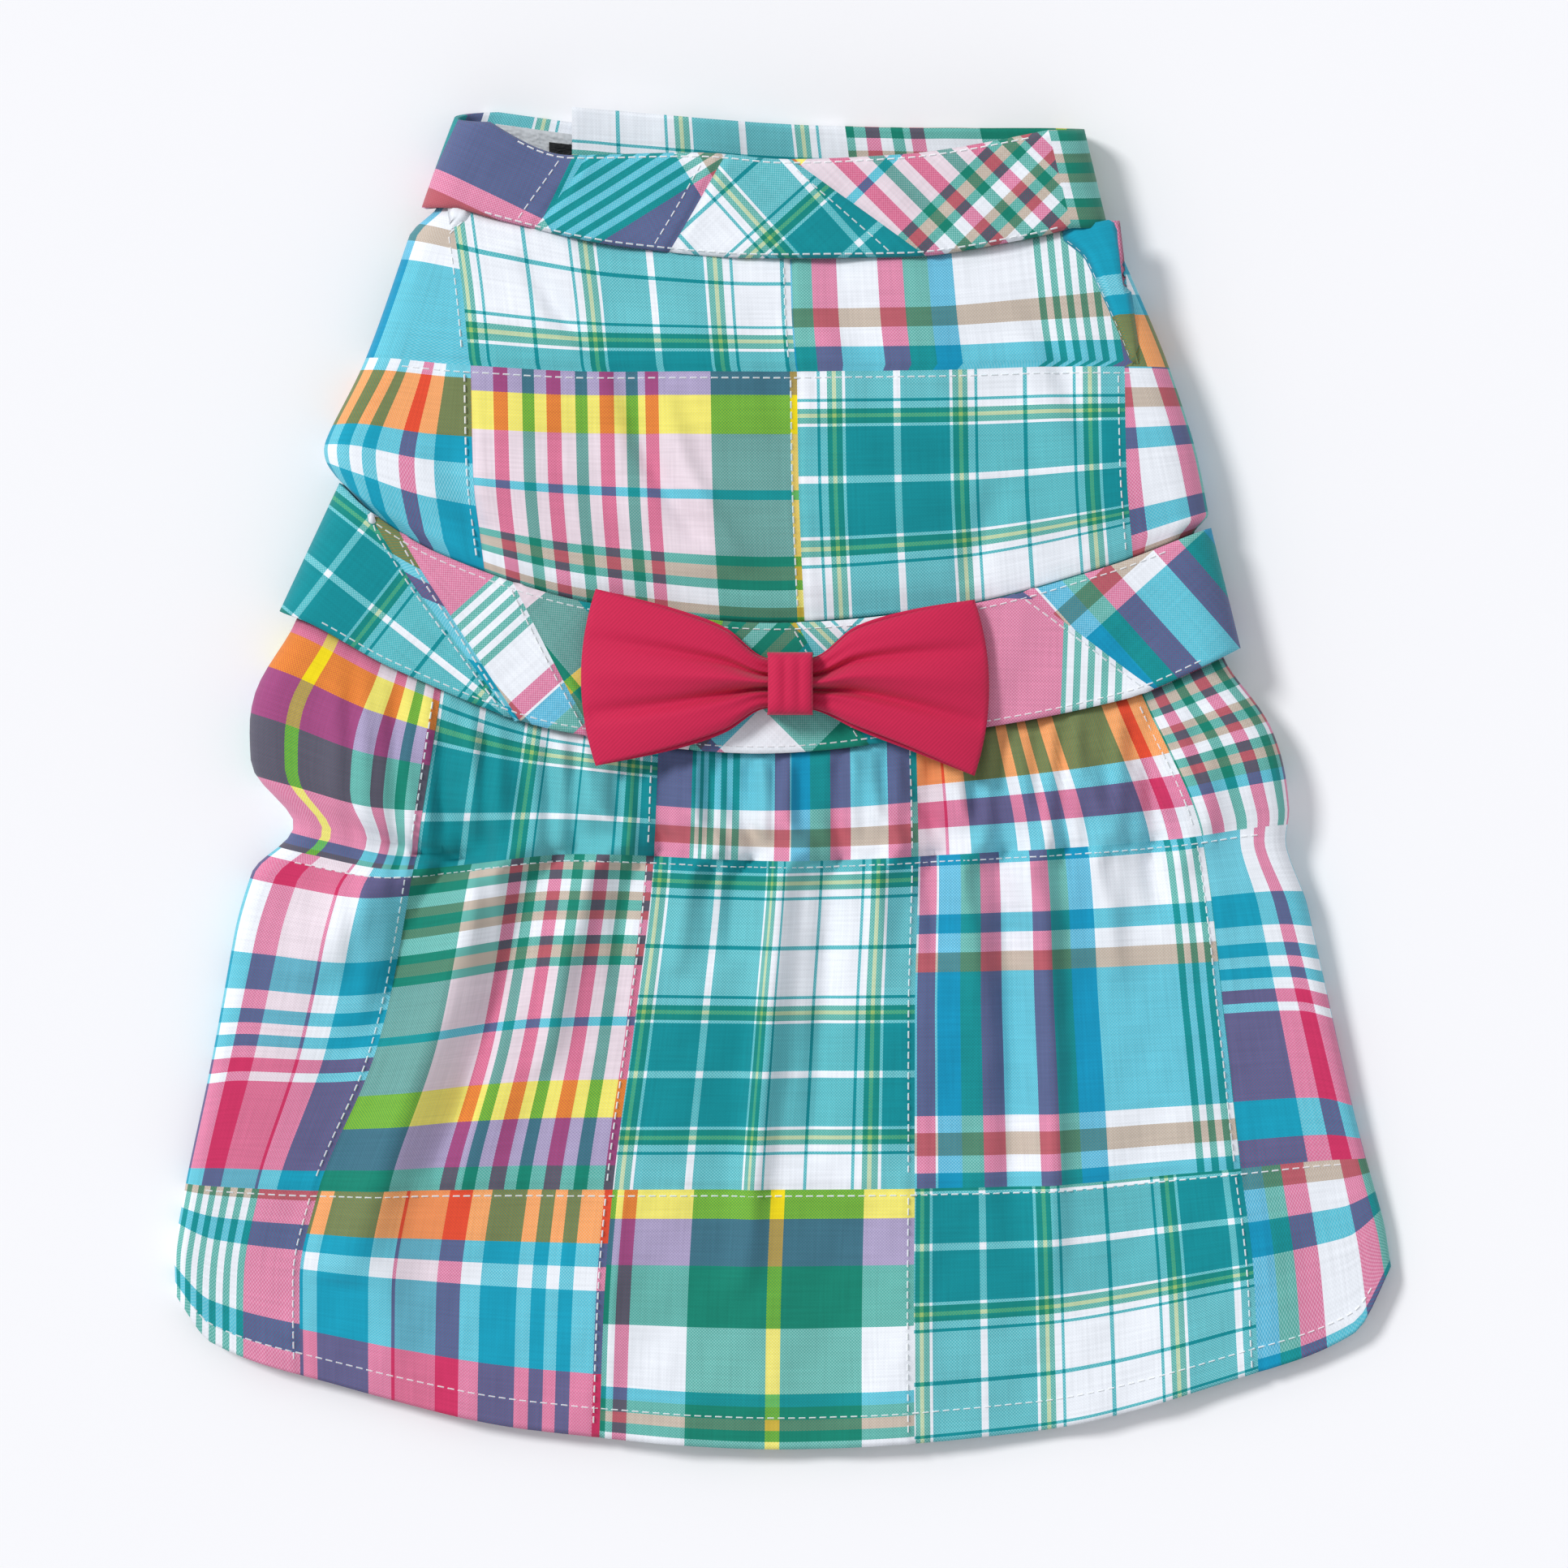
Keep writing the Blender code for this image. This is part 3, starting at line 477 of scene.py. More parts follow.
def patch_uv(grid: np.ndarray, bands: list, edges: list, patches: tuple, fold_at: int) -> tuple:
    """UVs and material indices of a grid that is cut into patches.

    Args:
        grid: Points in mm.
        bands: Row numbers where the bands of patches begin and end.
        edges: Column numbers where the patches begin and end.
        patches: One tuple of patches for each band.
        fold_at: Column of the left fold, where the first patch's measure starts.

    Returns:
        Corner UVs and the material index of every face.
    """
    down, along = grid.shape[:2]
    uv = np.zeros((down - 1, along - 1, 4, 2))
    indices = np.zeros((down - 1, along - 1), int)
    for band, (top, foot) in enumerate(zip(bands[:-1], bands[1:])):
        middle = (top + foot) // 2
        path = reach_along(grid[middle])
        for place, (left, right) in enumerate(zip(edges[:-1], edges[1:])):
            patch = patches[band][place]
            centre = (left + right) // 2
            v = reach_along(grid[top : foot + 1, centre])[:, None]
            u = (path[left : right + 1] - path[fold_at if place == 0 else left])[None, :]
            angle = math.radians(patch.turn_deg)
            if patch.turn_deg:
                block = grid[top : foot + 1, left : right + 1]
                u = block[:, :, 0] - block[0, fold_at if place == 0 else 0, 0]
                v = block[0, (right - left) // 2, 1] - block[:, :, 1]
            warp = patch.warp_start + patch.warp_way * (u * math.cos(angle) - v * math.sin(angle))
            weft = patch.weft_start + patch.weft_way * (u * math.sin(angle) + v * math.cos(angle))
            at = np.stack(np.broadcast_arrays(warp, weft), axis=-1)
            block = np.stack((at[:-1, :-1], at[1:, :-1], at[1:, 1:], at[:-1, 1:]), axis=2)
            uv[top:foot, left:right] = block
            indices[top:foot, left:right] = patch.cloth
    return uv, indices


def plain_uv(grid: np.ndarray) -> tuple:
    """Corner UVs and material indices of a grid that is one piece of one material."""
    return patch_uv(grid, [0, len(grid) - 1], [0, grid.shape[1] - 1], ((Patch(0, 0, 0),),), 0)


@dataclass
class Threads:
    """Gathers topstitches as short raised dashes of thread, and makes them one mesh."""

    name: str
    length: float = 1.7
    pitch: float = 2.45
    width: float = 0.42
    height: float = 0.28
    sink: float = 0.15
    rows: list = field(default_factory=list)

    def run(self, line: np.ndarray) -> None:
        """Adds the stitches of one seam.

        Args:
            line: Points of the seam on the cloth, in mm.
        """
        reach = reach_along(line)
        starts = np.arange(0.5, reach[-1] - self.length, self.pitch)
        ends = starts + self.length
        a = np.stack([np.interp(starts, reach, line[:, i]) for i in range(3)], axis=1)
        b = np.stack([np.interp(ends, reach, line[:, i]) for i in range(3)], axis=1)
        self.rows.append(np.stack((a, b), axis=1))

    def build(self, finish: bpy.types.Material) -> bpy.types.Object:
        """Makes each stitch a low six-point ridge.

        Args:
            finish: The thread's material.

        Returns:
            The mesh object of all the stitches.
        """
        ends = np.concatenate(self.rows)
        a, b = ends[:, 0], ends[:, 1]
        along = (b - a) / np.linalg.norm(b - a, axis=1, keepdims=True)
        side = np.stack((-along[:, 1], along[:, 0], np.zeros(len(a))), axis=1) * self.width / 2
        up = np.array([0, 0, self.height])
        sunk = np.array([0, 0, -self.sink])
        inset = along * 0.25
        points = (a - side + sunk, a + side + sunk, b + side + sunk, b - side + sunk)
        points = np.stack(points + (a + inset + up, b - inset + up), axis=1)
        shape = np.array(((0, 3, 5, 4), (2, 1, 4, 5), (3, 2, 1, 0)))
        tips = np.array(((1, 0, 4), (3, 2, 5)))
        base = np.arange(len(a))[:, None, None] * 6
        faces = (base + shape).reshape(-1, 4).tolist() + (base + tips).reshape(-1, 3).tolist()
        mesh = bpy.data.meshes.new(self.name)
        mesh.from_pydata((points.reshape(-1, 3) * MM).tolist(), [], faces)
        mesh.materials.append(finish)
        piece = bpy.data.objects.new(self.name, mesh)
        bpy.context.scene.collection.objects.link(piece)
        log.info("%s: %d stitches", self.name, len(a))
        return piece


@dataclass
class Panel:
    """A cloth that lies over the dress's middle and whose sides roll under it."""

    name: str
    lines: tuple
    middle_y: float
    length: float
    heights: tuple
    bands: tuple
    seams: tuple
    patches: tuple
    folds: tuple = ()
    waves: tuple = ()
    top_step: float = 0.0
    foot_step: float = 0.0
    turn: float = 13.0
    flat: tuple = (0.3, 0.1)
    held: str = "folded"
    rests_on: tuple = ()
    stitch_rows: tuple = ()
    ripple: float = 0.0
    cell: float = 1.35
    seed: int = 1
    wall: float = 1.0
    roughness: float = 1.0

    def sides(self, down: np.ndarray) -> tuple:
        """The outline of both sides.

        Args:
            down: Shares down.

        Returns:
            Left and right x in mm at each share down.
        """
        places = column(self.lines, 0)
        left = smooth_between(places, column(self.lines, 1), down)
        right = smooth_between(places, column(self.lines, 2), down)
        if self.waves:
            out = column(self.waves, 0)
            left = left - smooth_between(out, column(self.waves, 1), down) * HEM_WIDTH
            right = right + smooth_between(out, column(self.waves, 2), down) * HEM_WIDTH
        return left, right

    def y_at(self, share: np.ndarray, down: np.ndarray) -> np.ndarray:
        """The y between the seam lines.

        Args:
            share: Shares across, from outline to outline.
            down: Shares down, broadcast to them.

        Returns:
            y in mm at each place.
        """
        flat = np.clip(share, 0, 1).reshape(-1)
        lift = [smooth_between(ACROSS, line[3], flat) * SEAM_DIP for line in self.lines]
        known = [self.middle_y - line[0] * self.length + rise for line, rise in zip(self.lines, lift)]
        spread = np.broadcast_to(down, share.shape).reshape(-1)
        return smooth_between(column(self.lines, 0), np.array(known), spread).reshape(share.shape)

    def gives_way(self, down: np.ndarray) -> np.ndarray:
        """How far the cloth gives way to a band that covers its end, 0 to 1."""
        return self.top_step * (1 - ease(down / 0.07)) + self.foot_step * ease((down - 0.92) / 0.08)

    def top(self, x_share: np.ndarray, down: np.ndarray) -> np.ndarray:
        """Points of the upper side.

        Args:
            x_share: Share of the way from the left roll to the right roll.
            down: Share of the way down, the same shape or broadcast to it.

        Returns:
            Points in mm, with a last axis of three.
        """
        down = np.broadcast_to(down, x_share.shape)
        line = down.reshape(-1)
        left, right = (side.reshape(x_share.shape) for side in self.sides(line))
        places = column(self.heights, 0)
        middle = smooth_between(places, column(self.heights, 1), line).reshape(x_share.shape)
        side = smooth_between(places, column(self.heights, 2), line).reshape(x_share.shape)
        radius = side / 2
        inset = 3.2 * self.gives_way(down)
        low, high = left + inset + radius, right - inset - radius
        x = low + (high - low) * x_share
        y = self.y_at((x - left) / (right - left), down)
        z = side + (middle - side) * (1 - np.abs(2 * x_share - 1) ** 2.5)
        fade = np.clip(10 * np.minimum(x_share, 1 - x_share), 0, 1)
        extra = self.unevenness(x, y, x_share, down, right - left)
        relief = seam_relief(self.seam_distance(x, down), y)
        for edge in self.bands[1:-1]:
            relief = relief + seam_relief(np.abs(down - edge) * self.length, x)
        z = z + (extra + relief) * fade - 0.6 * self.gives_way(down)
        return np.stack((x, y, np.maximum(z, 1.4)), axis=-1)

    def unevenness(
        self, x: np.ndarray, y: np.ndarray, x_share: np.ndarray, down: np.ndarray, width: np.ndarray
    ) -> np.ndarray:
        """Wrinkles, folds and, on a gathered cloth, the ripples below its seam.

        Args:
            x: Places across in mm.
            y: Places along in mm.
            x_share: Shares between the rolls.
            down: Shares down.
            width: Width of the cloth in mm at each place.

        Returns:
            Height in mm at each place.
        """
        extra = wrinkles(x, y, self.seed) * self.roughness
        for top, foot, start, end, half_width, height in self.folds:
            way = np.clip((down - start) / (end - start), 0, 1)
            centre = top + (foot - top) * way
            gap = (x_share - centre) * width / half_width
            extra = extra + 1.2 * height * np.sin(math.pi * way) ** 0.6 * np.exp(-((1.25 * gap) ** 2))
        if self.ripple:
            wave = np.sin(x * 0.72 + 2.2 * np.sin(x * 0.11)) + 0.6 * np.sin(x * 1.21 + 1)
            extra = extra + self.ripple * wave * np.exp(-((down / 0.17) ** 1.4)) * ease(down / 0.03)
        return extra

    def seam_distance(self, x: np.ndarray, down: np.ndarray) -> np.ndarray:
        """How far each place lies from the nearest seam that runs down.

        Args:
            x: Places across in mm.
            down: Shares down.

        Returns:
            Distance in mm at each place.
        """
        distance = np.full(x.shape, 99.0)
        for band, seams in enumerate(self.seams):
            inside = (down >= self.bands[band] - 1e-9) & (down <= self.bands[band + 1] + 1e-9)
            for number in range(1, len(seams[0])):
                at = smooth_between(column(seams, 0), column(seams, number), down.reshape(-1))
                distance = np.where(inside, np.minimum(distance, np.abs(x - at.reshape(x.shape))), distance)
        return distance

    def share_of(self, x: np.ndarray, down: np.ndarray) -> np.ndarray:
        """The share between the rolls that a place has.

        Args:
            x: Places across in mm.
            down: Shares down.

        Returns:
            Shares, 0 at the left roll and 1 at the right one.
        """
        left, right = self.sides(down)
        side = smooth_between(column(self.heights, 0), column(self.heights, 2), down)
        inset = 3.2 * self.gives_way(down) + side / 2
        return (x - left - inset) / (right - left - 2 * inset)

    def flap(self, down: np.ndarray, side: int) -> np.ndarray:
        """Length in mm of the part that is turned under."""
        return np.full(len(down), self.turn)

    def flap_height(self, x: np.ndarray, side: int) -> np.ndarray:
        """Height in mm over the floor of the part that is turned under."""
        return np.zeros_like(x)

    def seam_shares(self, band: int, at: np.ndarray) -> list:
        """Where the seams of a band lie between the rolls.

        Args:
            band: The band's number.
            at: Shares down.

        Returns:
            The shares of left roll, seams and right roll, one array for each.
        """
        seams = self.seams[band]
        shares = [np.zeros(len(at))]
        for number in range(1, len(seams[0])):
            x = smooth_between(column(seams, 0), column(seams, number), at)
            shares.append(self.share_of(x, at))
        return shares + [np.ones(len(at))]

    def build(self, finishes: list) -> bpy.types.Object:
        """Args:
            finishes: The four cloth materials.

        Returns:
            The cloth's object.
        """
        downs, rows = [], [0]
        for start, end in zip(self.bands[:-1], self.bands[1:]):
            steps = max(6, round((end - start) * self.length / self.cell))
            downs.append(start + (end - start) * np.arange(steps) / steps)
            rows.append(rows[-1] + steps)
        down = np.append(np.concatenate(downs), 1.0)
        left, right = self.sides(np.array([0.5]))
        cells = float((right - left)[0]) / self.cell
        grids, widths = [], []
        for band in range(len(self.bands) - 1):
            at = down[rows[band] : rows[band + 1] + 1]
            shares = self.seam_shares(band, at)
            pairs = list(zip(shares, shares[1:]))
            if not widths:
                widths = [max(5, round(float(b.mean() - a.mean()) * cells)) for a, b in pairs]
            pieces = [
                a[:, None] + (b - a)[:, None] * np.arange(n)[None, :] / n
                for (a, b), n in zip(pairs, widths)
            ]
            across = np.concatenate(pieces + [shares[-1][:, None]], axis=1)
            grids.append(self.wrapped(across, at))
        grid = np.concatenate([g[:-1] for g in grids[:-1]] + [grids[-1]])
        side = ROLL_COLUMNS + FLAP_COLUMNS
        edges = [0] + [int(e) + side for e in np.cumsum(widths[:-1])] + [grid.shape[1] - 1]
        uv, indices = patch_uv(grid, rows, edges, self.patches, MEASURE_COLUMN)
        piece = add_grid(self.name + "_cloth", grid, uv, indices, finishes, self.wall)
        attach(piece, "root")
        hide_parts(self.name)
        log.info("%s: %d faces", self.name, len(piece.data.polygons))
        return piece

    def wrapped(self, across: np.ndarray, down: np.ndarray) -> np.ndarray:
        """Adds the rolled sides and the parts turned under to the upper side's points.

        Args:
            across: Shares between the rolls, one row for each share down.
            down: Shares down.

        Returns:
            The whole grid of points in mm.
        """
        top = self.top(across, down[:, None])
        parts = []
        left, right = self.sides(down)
        for side, edge, sign in ((0, top[:, 0], -1), (1, top[:, -1], 1)):
            floor = 1.2 * self.gives_way(down)
            radius = ((edge[:, 2] - floor) / 2)[:, None]
            angle = (np.arange(1, ROLL_COLUMNS + 1) / ROLL_COLUMNS * math.pi)[None, :]
            x = edge[:, :1] + sign * radius * np.sin(angle)
            z = floor[:, None] + radius * (1 + np.cos(angle))
            steps = np.arange(1, FLAP_COLUMNS + 1) / FLAP_COLUMNS
            reach = self.flap(down, side)[:, None] * steps[None, :]
            flap_x = edge[:, :1] - sign * reach
            flap_z = floor[:, None] + self.flap_height(flap_x, side)
            share = (x - left[:, None]) / (right - left)[:, None]
            y = self.y_at(share, down[:, None])
            flap_y = np.repeat(y[:, -1:], FLAP_COLUMNS, axis=1)
            roll = np.stack((x, y, z), axis=-1)
            under = np.stack((flap_x, flap_y, flap_z), axis=-1)
            parts.append(np.concatenate((roll, under), axis=1))
        return np.concatenate((parts[0][:, ::-1], top, parts[1]), axis=1)

    def stitch(self, threads: Threads, xs: np.ndarray | tuple, downs: np.ndarray | tuple) -> None:
        """Runs a row of stitches over the upper side.

        Args:
            threads: Takes the stitches.
            xs: Places across in mm that the row passes through.
            downs: Shares down of the same places.
        """
        way = np.linspace(0, 1, 160)
        steps = np.linspace(0, 1, len(xs))
        x = np.interp(way, steps, xs)
        down = np.interp(way, steps, downs)
        share = np.clip(self.share_of(x, down), 0.004, 0.996)
        line = self.top(share, down)
        threads.run(line + np.array([0, 0, 0.05]))

    def stitch_seams(self, threads: Threads, off: float = 1.5) -> None:
        """Runs a topstitch beside every seam inside the panel, and the panel's own rows.

        Args:
            threads: Takes the stitches.
            off: Distance from the seam in mm.
        """
        for band, seams in enumerate(self.seams):
            start, end = self.bands[band], self.bands[band + 1]
            gap = 1.6 / self.length
            for number in range(1, len(seams[0])):
                at = np.linspace(start + gap, end - gap, 24)
                x = smooth_between(column(seams, 0), column(seams, number), at)
                self.stitch(threads, x - off, at)
        for edge in self.bands[1:-1]:
            left, right = self.sides(np.array([edge]))
            xs = np.linspace(left[0] + 3, right[0] - 3, 30)
            self.stitch(threads, xs, np.full(30, edge + off / self.length))
        for place, measured, inset in self.stitch_rows:
            left, right = self.sides(np.array([measured]))
            self.stitch(threads, (left[0] + inset, right[0] - inset), (place, place))


@dataclass
class BodicePanel(Panel):
    """The back panel, whose two belly flaps lap under it."""

    def flap(self, down: np.ndarray, side: int) -> np.ndarray:
        """The flaps are short at the legs and reach past the middle of the belly.

        Args:
            down: Shares down.
            side: 0 for the left flap, 1 for the right one.

        Returns:
            Length in mm of the flap at each share.
        """
        left, right = self.sides(down)
        half = (-left, right)[side] - 0.4 * CHEST_RISE + BELLY_LAP / 2
        reach = np.interp(down, column(FLAP_REACH, 0), column(FLAP_REACH, 1))
        return 4.0 + (half - 4.0) * reach

    def flap_height(self, x: np.ndarray, side: int) -> np.ndarray:
        """The right flap climbs over the left flap and the tape between them."""
        return np.zeros_like(x) if side == 0 else 2.8 * ease((BELLY_LAP / 2 + 42.0 - x) / 30.0)


# Ends of the neckband's upper edge and of its tab, x in mm
NECK_TIP_LEFT = -76.9
NECK_TIP_RIGHT = 70.5
TAB_END = -49.5
# Edges of the neckband: x in mm and lift over NECK_TOP_Y in mm, on the front and on its back part
NECK_TOP_EDGE = (
    (NECK_TIP_LEFT, NECK_END_RISE),
    (-49.5, 1.0),
    (-20.1, 1.5),
    (1.0, 0.0),
    (25.7, 1.0),
    (NECK_TIP_RIGHT, 8.6),
)
NECK_BACK_EDGE = ((TAB_END, 13.2), (-3.2, 9.6), (32.1, 8.6), (NECK_TIP_RIGHT, 8.6))
# Slanted seams of the neckband's front, from right to left: x at its lower edge and at its upper edge
NECK_FRONT_SEAMS = ((33.3, 1.9), (-26.6, -13.3), (-58.0, -45.6))
# Columns of points: back part, its first seam, each fold, the front's patches and the lower end
BACK_COLUMNS = 80
BACK_SEAM_COLUMN = 46
FOLD_COLUMNS = 11
FRONT_COLUMNS = (40, 34, 30, 16)
END_COLUMNS = 32
FRONT_START = BACK_COLUMNS + FOLD_COLUMNS
FRONT_END = FRONT_START + sum(FRONT_COLUMNS)
NECK_PATCHES = (
    (
        Patch(0, 20.0, 4.0),
        Patch(1, 20.0, 48.0),
        Patch(1, 26.0, 78.0, turn_deg=45),
        Patch(0, 10.0, 14.0, turn_deg=42),
        Patch(3, 90.0, 52.0, turn_deg=-58),
        Patch(3, 107.0, 40.5, weft_way=-1, turn_deg=-26),
        Patch(0, 0.0, 0.0),
    ),
)


@dataclass
class Neckband:
    """The strip's path: tab end, back part, right fold, front, left fold and lower end."""

    rows: int = 20
    rise: float = NECK_RISE + BAND_STEP
    side: float = 0.76 * CHEST_RISE + BAND_STEP
    wall: float = 1.2

    def front(self, up: np.ndarray, inner_right: np.ndarray, inner_left: np.ndarray) -> tuple:
        """Points of the strip over the chest, from its right fold to its left fold.

        Args:
            up: Shares of the strip's height, one row for each.
            inner_right: x in mm where the right fold begins, in each row.
            inner_left: x in mm where the left fold begins, in each row.

        Returns:
            x, y and z in mm.
        """
        seam_left, seam_right = BODICE_LINES[0][1], BODICE_LINES[0][2]
        cuts = [inner_right] + [low + (high - low) * up for low, high in NECK_FRONT_SEAMS] + [inner_left]
        spans = [
            a + (b - a) * np.arange(n)[None] / n for a, b, n in zip(cuts, cuts[1:], FRONT_COLUMNS)
        ]
        x = np.concatenate(spans + [inner_left], axis=1)
        flat = x.reshape(-1)
        upper = NECK_TOP_Y + smooth_between(column(NECK_TOP_EDGE, 0), column(NECK_TOP_EDGE, 1), flat)
        share = np.clip((flat - seam_left) / (seam_right - seam_left), 0, 1)
        lower = NECK_SEAM_Y + smooth_between(ACROSS, NECK_SEAM, share) * SEAM_DIP
        spread = np.broadcast_to(up, x.shape)
        y = lower.reshape(x.shape) * (1 - spread) + upper.reshape(x.shape) * spread
        across = (x - inner_left) / (inner_right - inner_left)
        z = self.side + (self.rise - self.side) * (1 - np.abs(2 * across - 1) ** 2.5)
        distance = np.full(x.shape, 99.0)
        for cut in cuts[1:-1]:
            distance = np.minimum(distance, np.abs(x - cut))
        edge = np.minimum(spread, 1 - spread) * NECKBAND_HEIGHT
        z = z + seam_relief(distance, y) - 0.9 * np.exp(-((edge / 0.6) ** 2))
        z = z + 0.8 * wrinkles(x, y, 7) - 0.25 * np.exp(-(((edge - 1.4) / 0.5) ** 2))
        return x, y, z

    def grid(self) -> tuple:
        """Points of the strip and the columns where its patches meet.

        Returns:
            The grid in mm, and the column numbers of the patch seams.
        """
        up = np.linspace(0, 1, self.rows + 1)[:, None]
        radius = self.side / 2
        seam_left, seam_right = BODICE_LINES[0][1], BODICE_LINES[0][2]
        inner_left = seam_left + (NECK_TIP_LEFT - seam_left) * up + radius
        inner_right = seam_right + (NECK_TIP_RIGHT - seam_right) * up - radius
        front_x, front_y, front_z = self.front(up, inner_right, inner_left)

        back_x = TAB_END + (inner_right - TAB_END) * np.arange(BACK_COLUMNS)[None] / BACK_COLUMNS
        lift = smooth_between(column(NECK_BACK_EDGE, 0), column(NECK_BACK_EDGE, 1), back_x.reshape(-1))
        back_y = NECK_TOP_Y + lift.reshape(back_x.shape) - NECKBAND_HEIGHT * (1 - up)
        back_z = 4.3 * ease((3.3 - back_x) / 26.4) + 0.5 * (1 + wrinkles(back_x, back_y, 5))
        end_x = inner_left + (-25.5 - inner_left) * np.arange(1, END_COLUMNS + 1)[None] / END_COLUMNS
        end_y = NECK_TOP_Y + NECK_END_RISE - (end_x - NECK_TIP_LEFT) * 0.14 - NECKBAND_HEIGHT * (1 - up)
        angle = np.arange(1, FOLD_COLUMNS + 1)[None] / (FOLD_COLUMNS + 1) * math.pi
        turning = (1 - np.cos(angle)) / 2
        right_x = inner_right + radius * np.sin(angle)
        right_y = back_y[:, -1:] + (front_y[:, :1] - back_y[:, -1:]) * turning
        left_x = inner_left - radius * np.sin(angle)
        left_y = front_y[:, -1:] + (end_y[:, :1] - front_y[:, -1:]) * turning
        x = np.concatenate((back_x, right_x, front_x, left_x, end_x), axis=1)
        y = np.concatenate((back_y, right_y, front_y, left_y, end_y), axis=1)
        right_z = front_z[:, :1] * turning
        left_z = front_z[:, -1:] * (1 - turning)
        z = np.concatenate((back_z, right_z, front_z, left_z, np.zeros_like(end_x) + 0.2), axis=1)
        seams = [int(place) for place in np.cumsum((FRONT_START,) + FRONT_COLUMNS[:3])]
        edges = [0, BACK_SEAM_COLUMN] + seams + [FRONT_END + FOLD_COLUMNS, x.shape[1] - 1]
        return np.stack((x, y, z), axis=-1), edges

    def build(self, finishes: list, threads: Threads) -> bpy.types.Object:
        """Builds the strip and its topstitches.

        Args:
            finishes: The four cloth materials.
            threads: Takes the topstitches.

        Returns:
            The strip's object.
        """
        grid, edges = self.grid()
        uv, indices = patch_uv(grid, [0, self.rows], edges, NECK_PATCHES, 0)
        piece = add_grid("neckband_cloth", grid, uv, indices, finishes, self.wall)
        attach(piece, "root")
        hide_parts("neckband")
        for row in (1, self.rows - 1):
            line = grid[row, FRONT_START + 3 : FRONT_END - 3]
            threads.run(line + np.array([0, 0.2 if row > 1 else -0.2, 0.08]))
            threads.run(grid[row, 4 : FRONT_START - 12] + np.array([0, 0, 0.1]))
        threads.run(grid[2:-2, 3] + np.array([0, 0, 0.12]))
        for number in edges[3:6]:
            threads.run(grid[1:-1, number + 4] + np.array([0, 0, 0.06]))
        log.info("neckband: %d faces", len(piece.data.polygons))
        return piece


# Outlines of the bow's loops, from the knot to the tip: share out, x, upper y, lower y in mm
BOW_LEFT = (
    (0.0, 0.2, 26.8, 16.6),
    (0.12, -4.5, 27.6, 16.2),
    (0.38, -13.5, 34.0, 11.2),
    (0.66, -24.5, 38.2, 7.4),
    (1.0, -43.6, 43.8, 2.6),
)
BOW_RIGHT = (
    (0.0, 1.2, 26.8, 16.6),
    (0.12, 7.2, 27.6, 15.9),
    (0.38, 17.0, 34.3, 11.9),
    (0.66, 29.0, 38.0, 7.2),
    (1.0, 44.5, 41.3, 0.3),
)


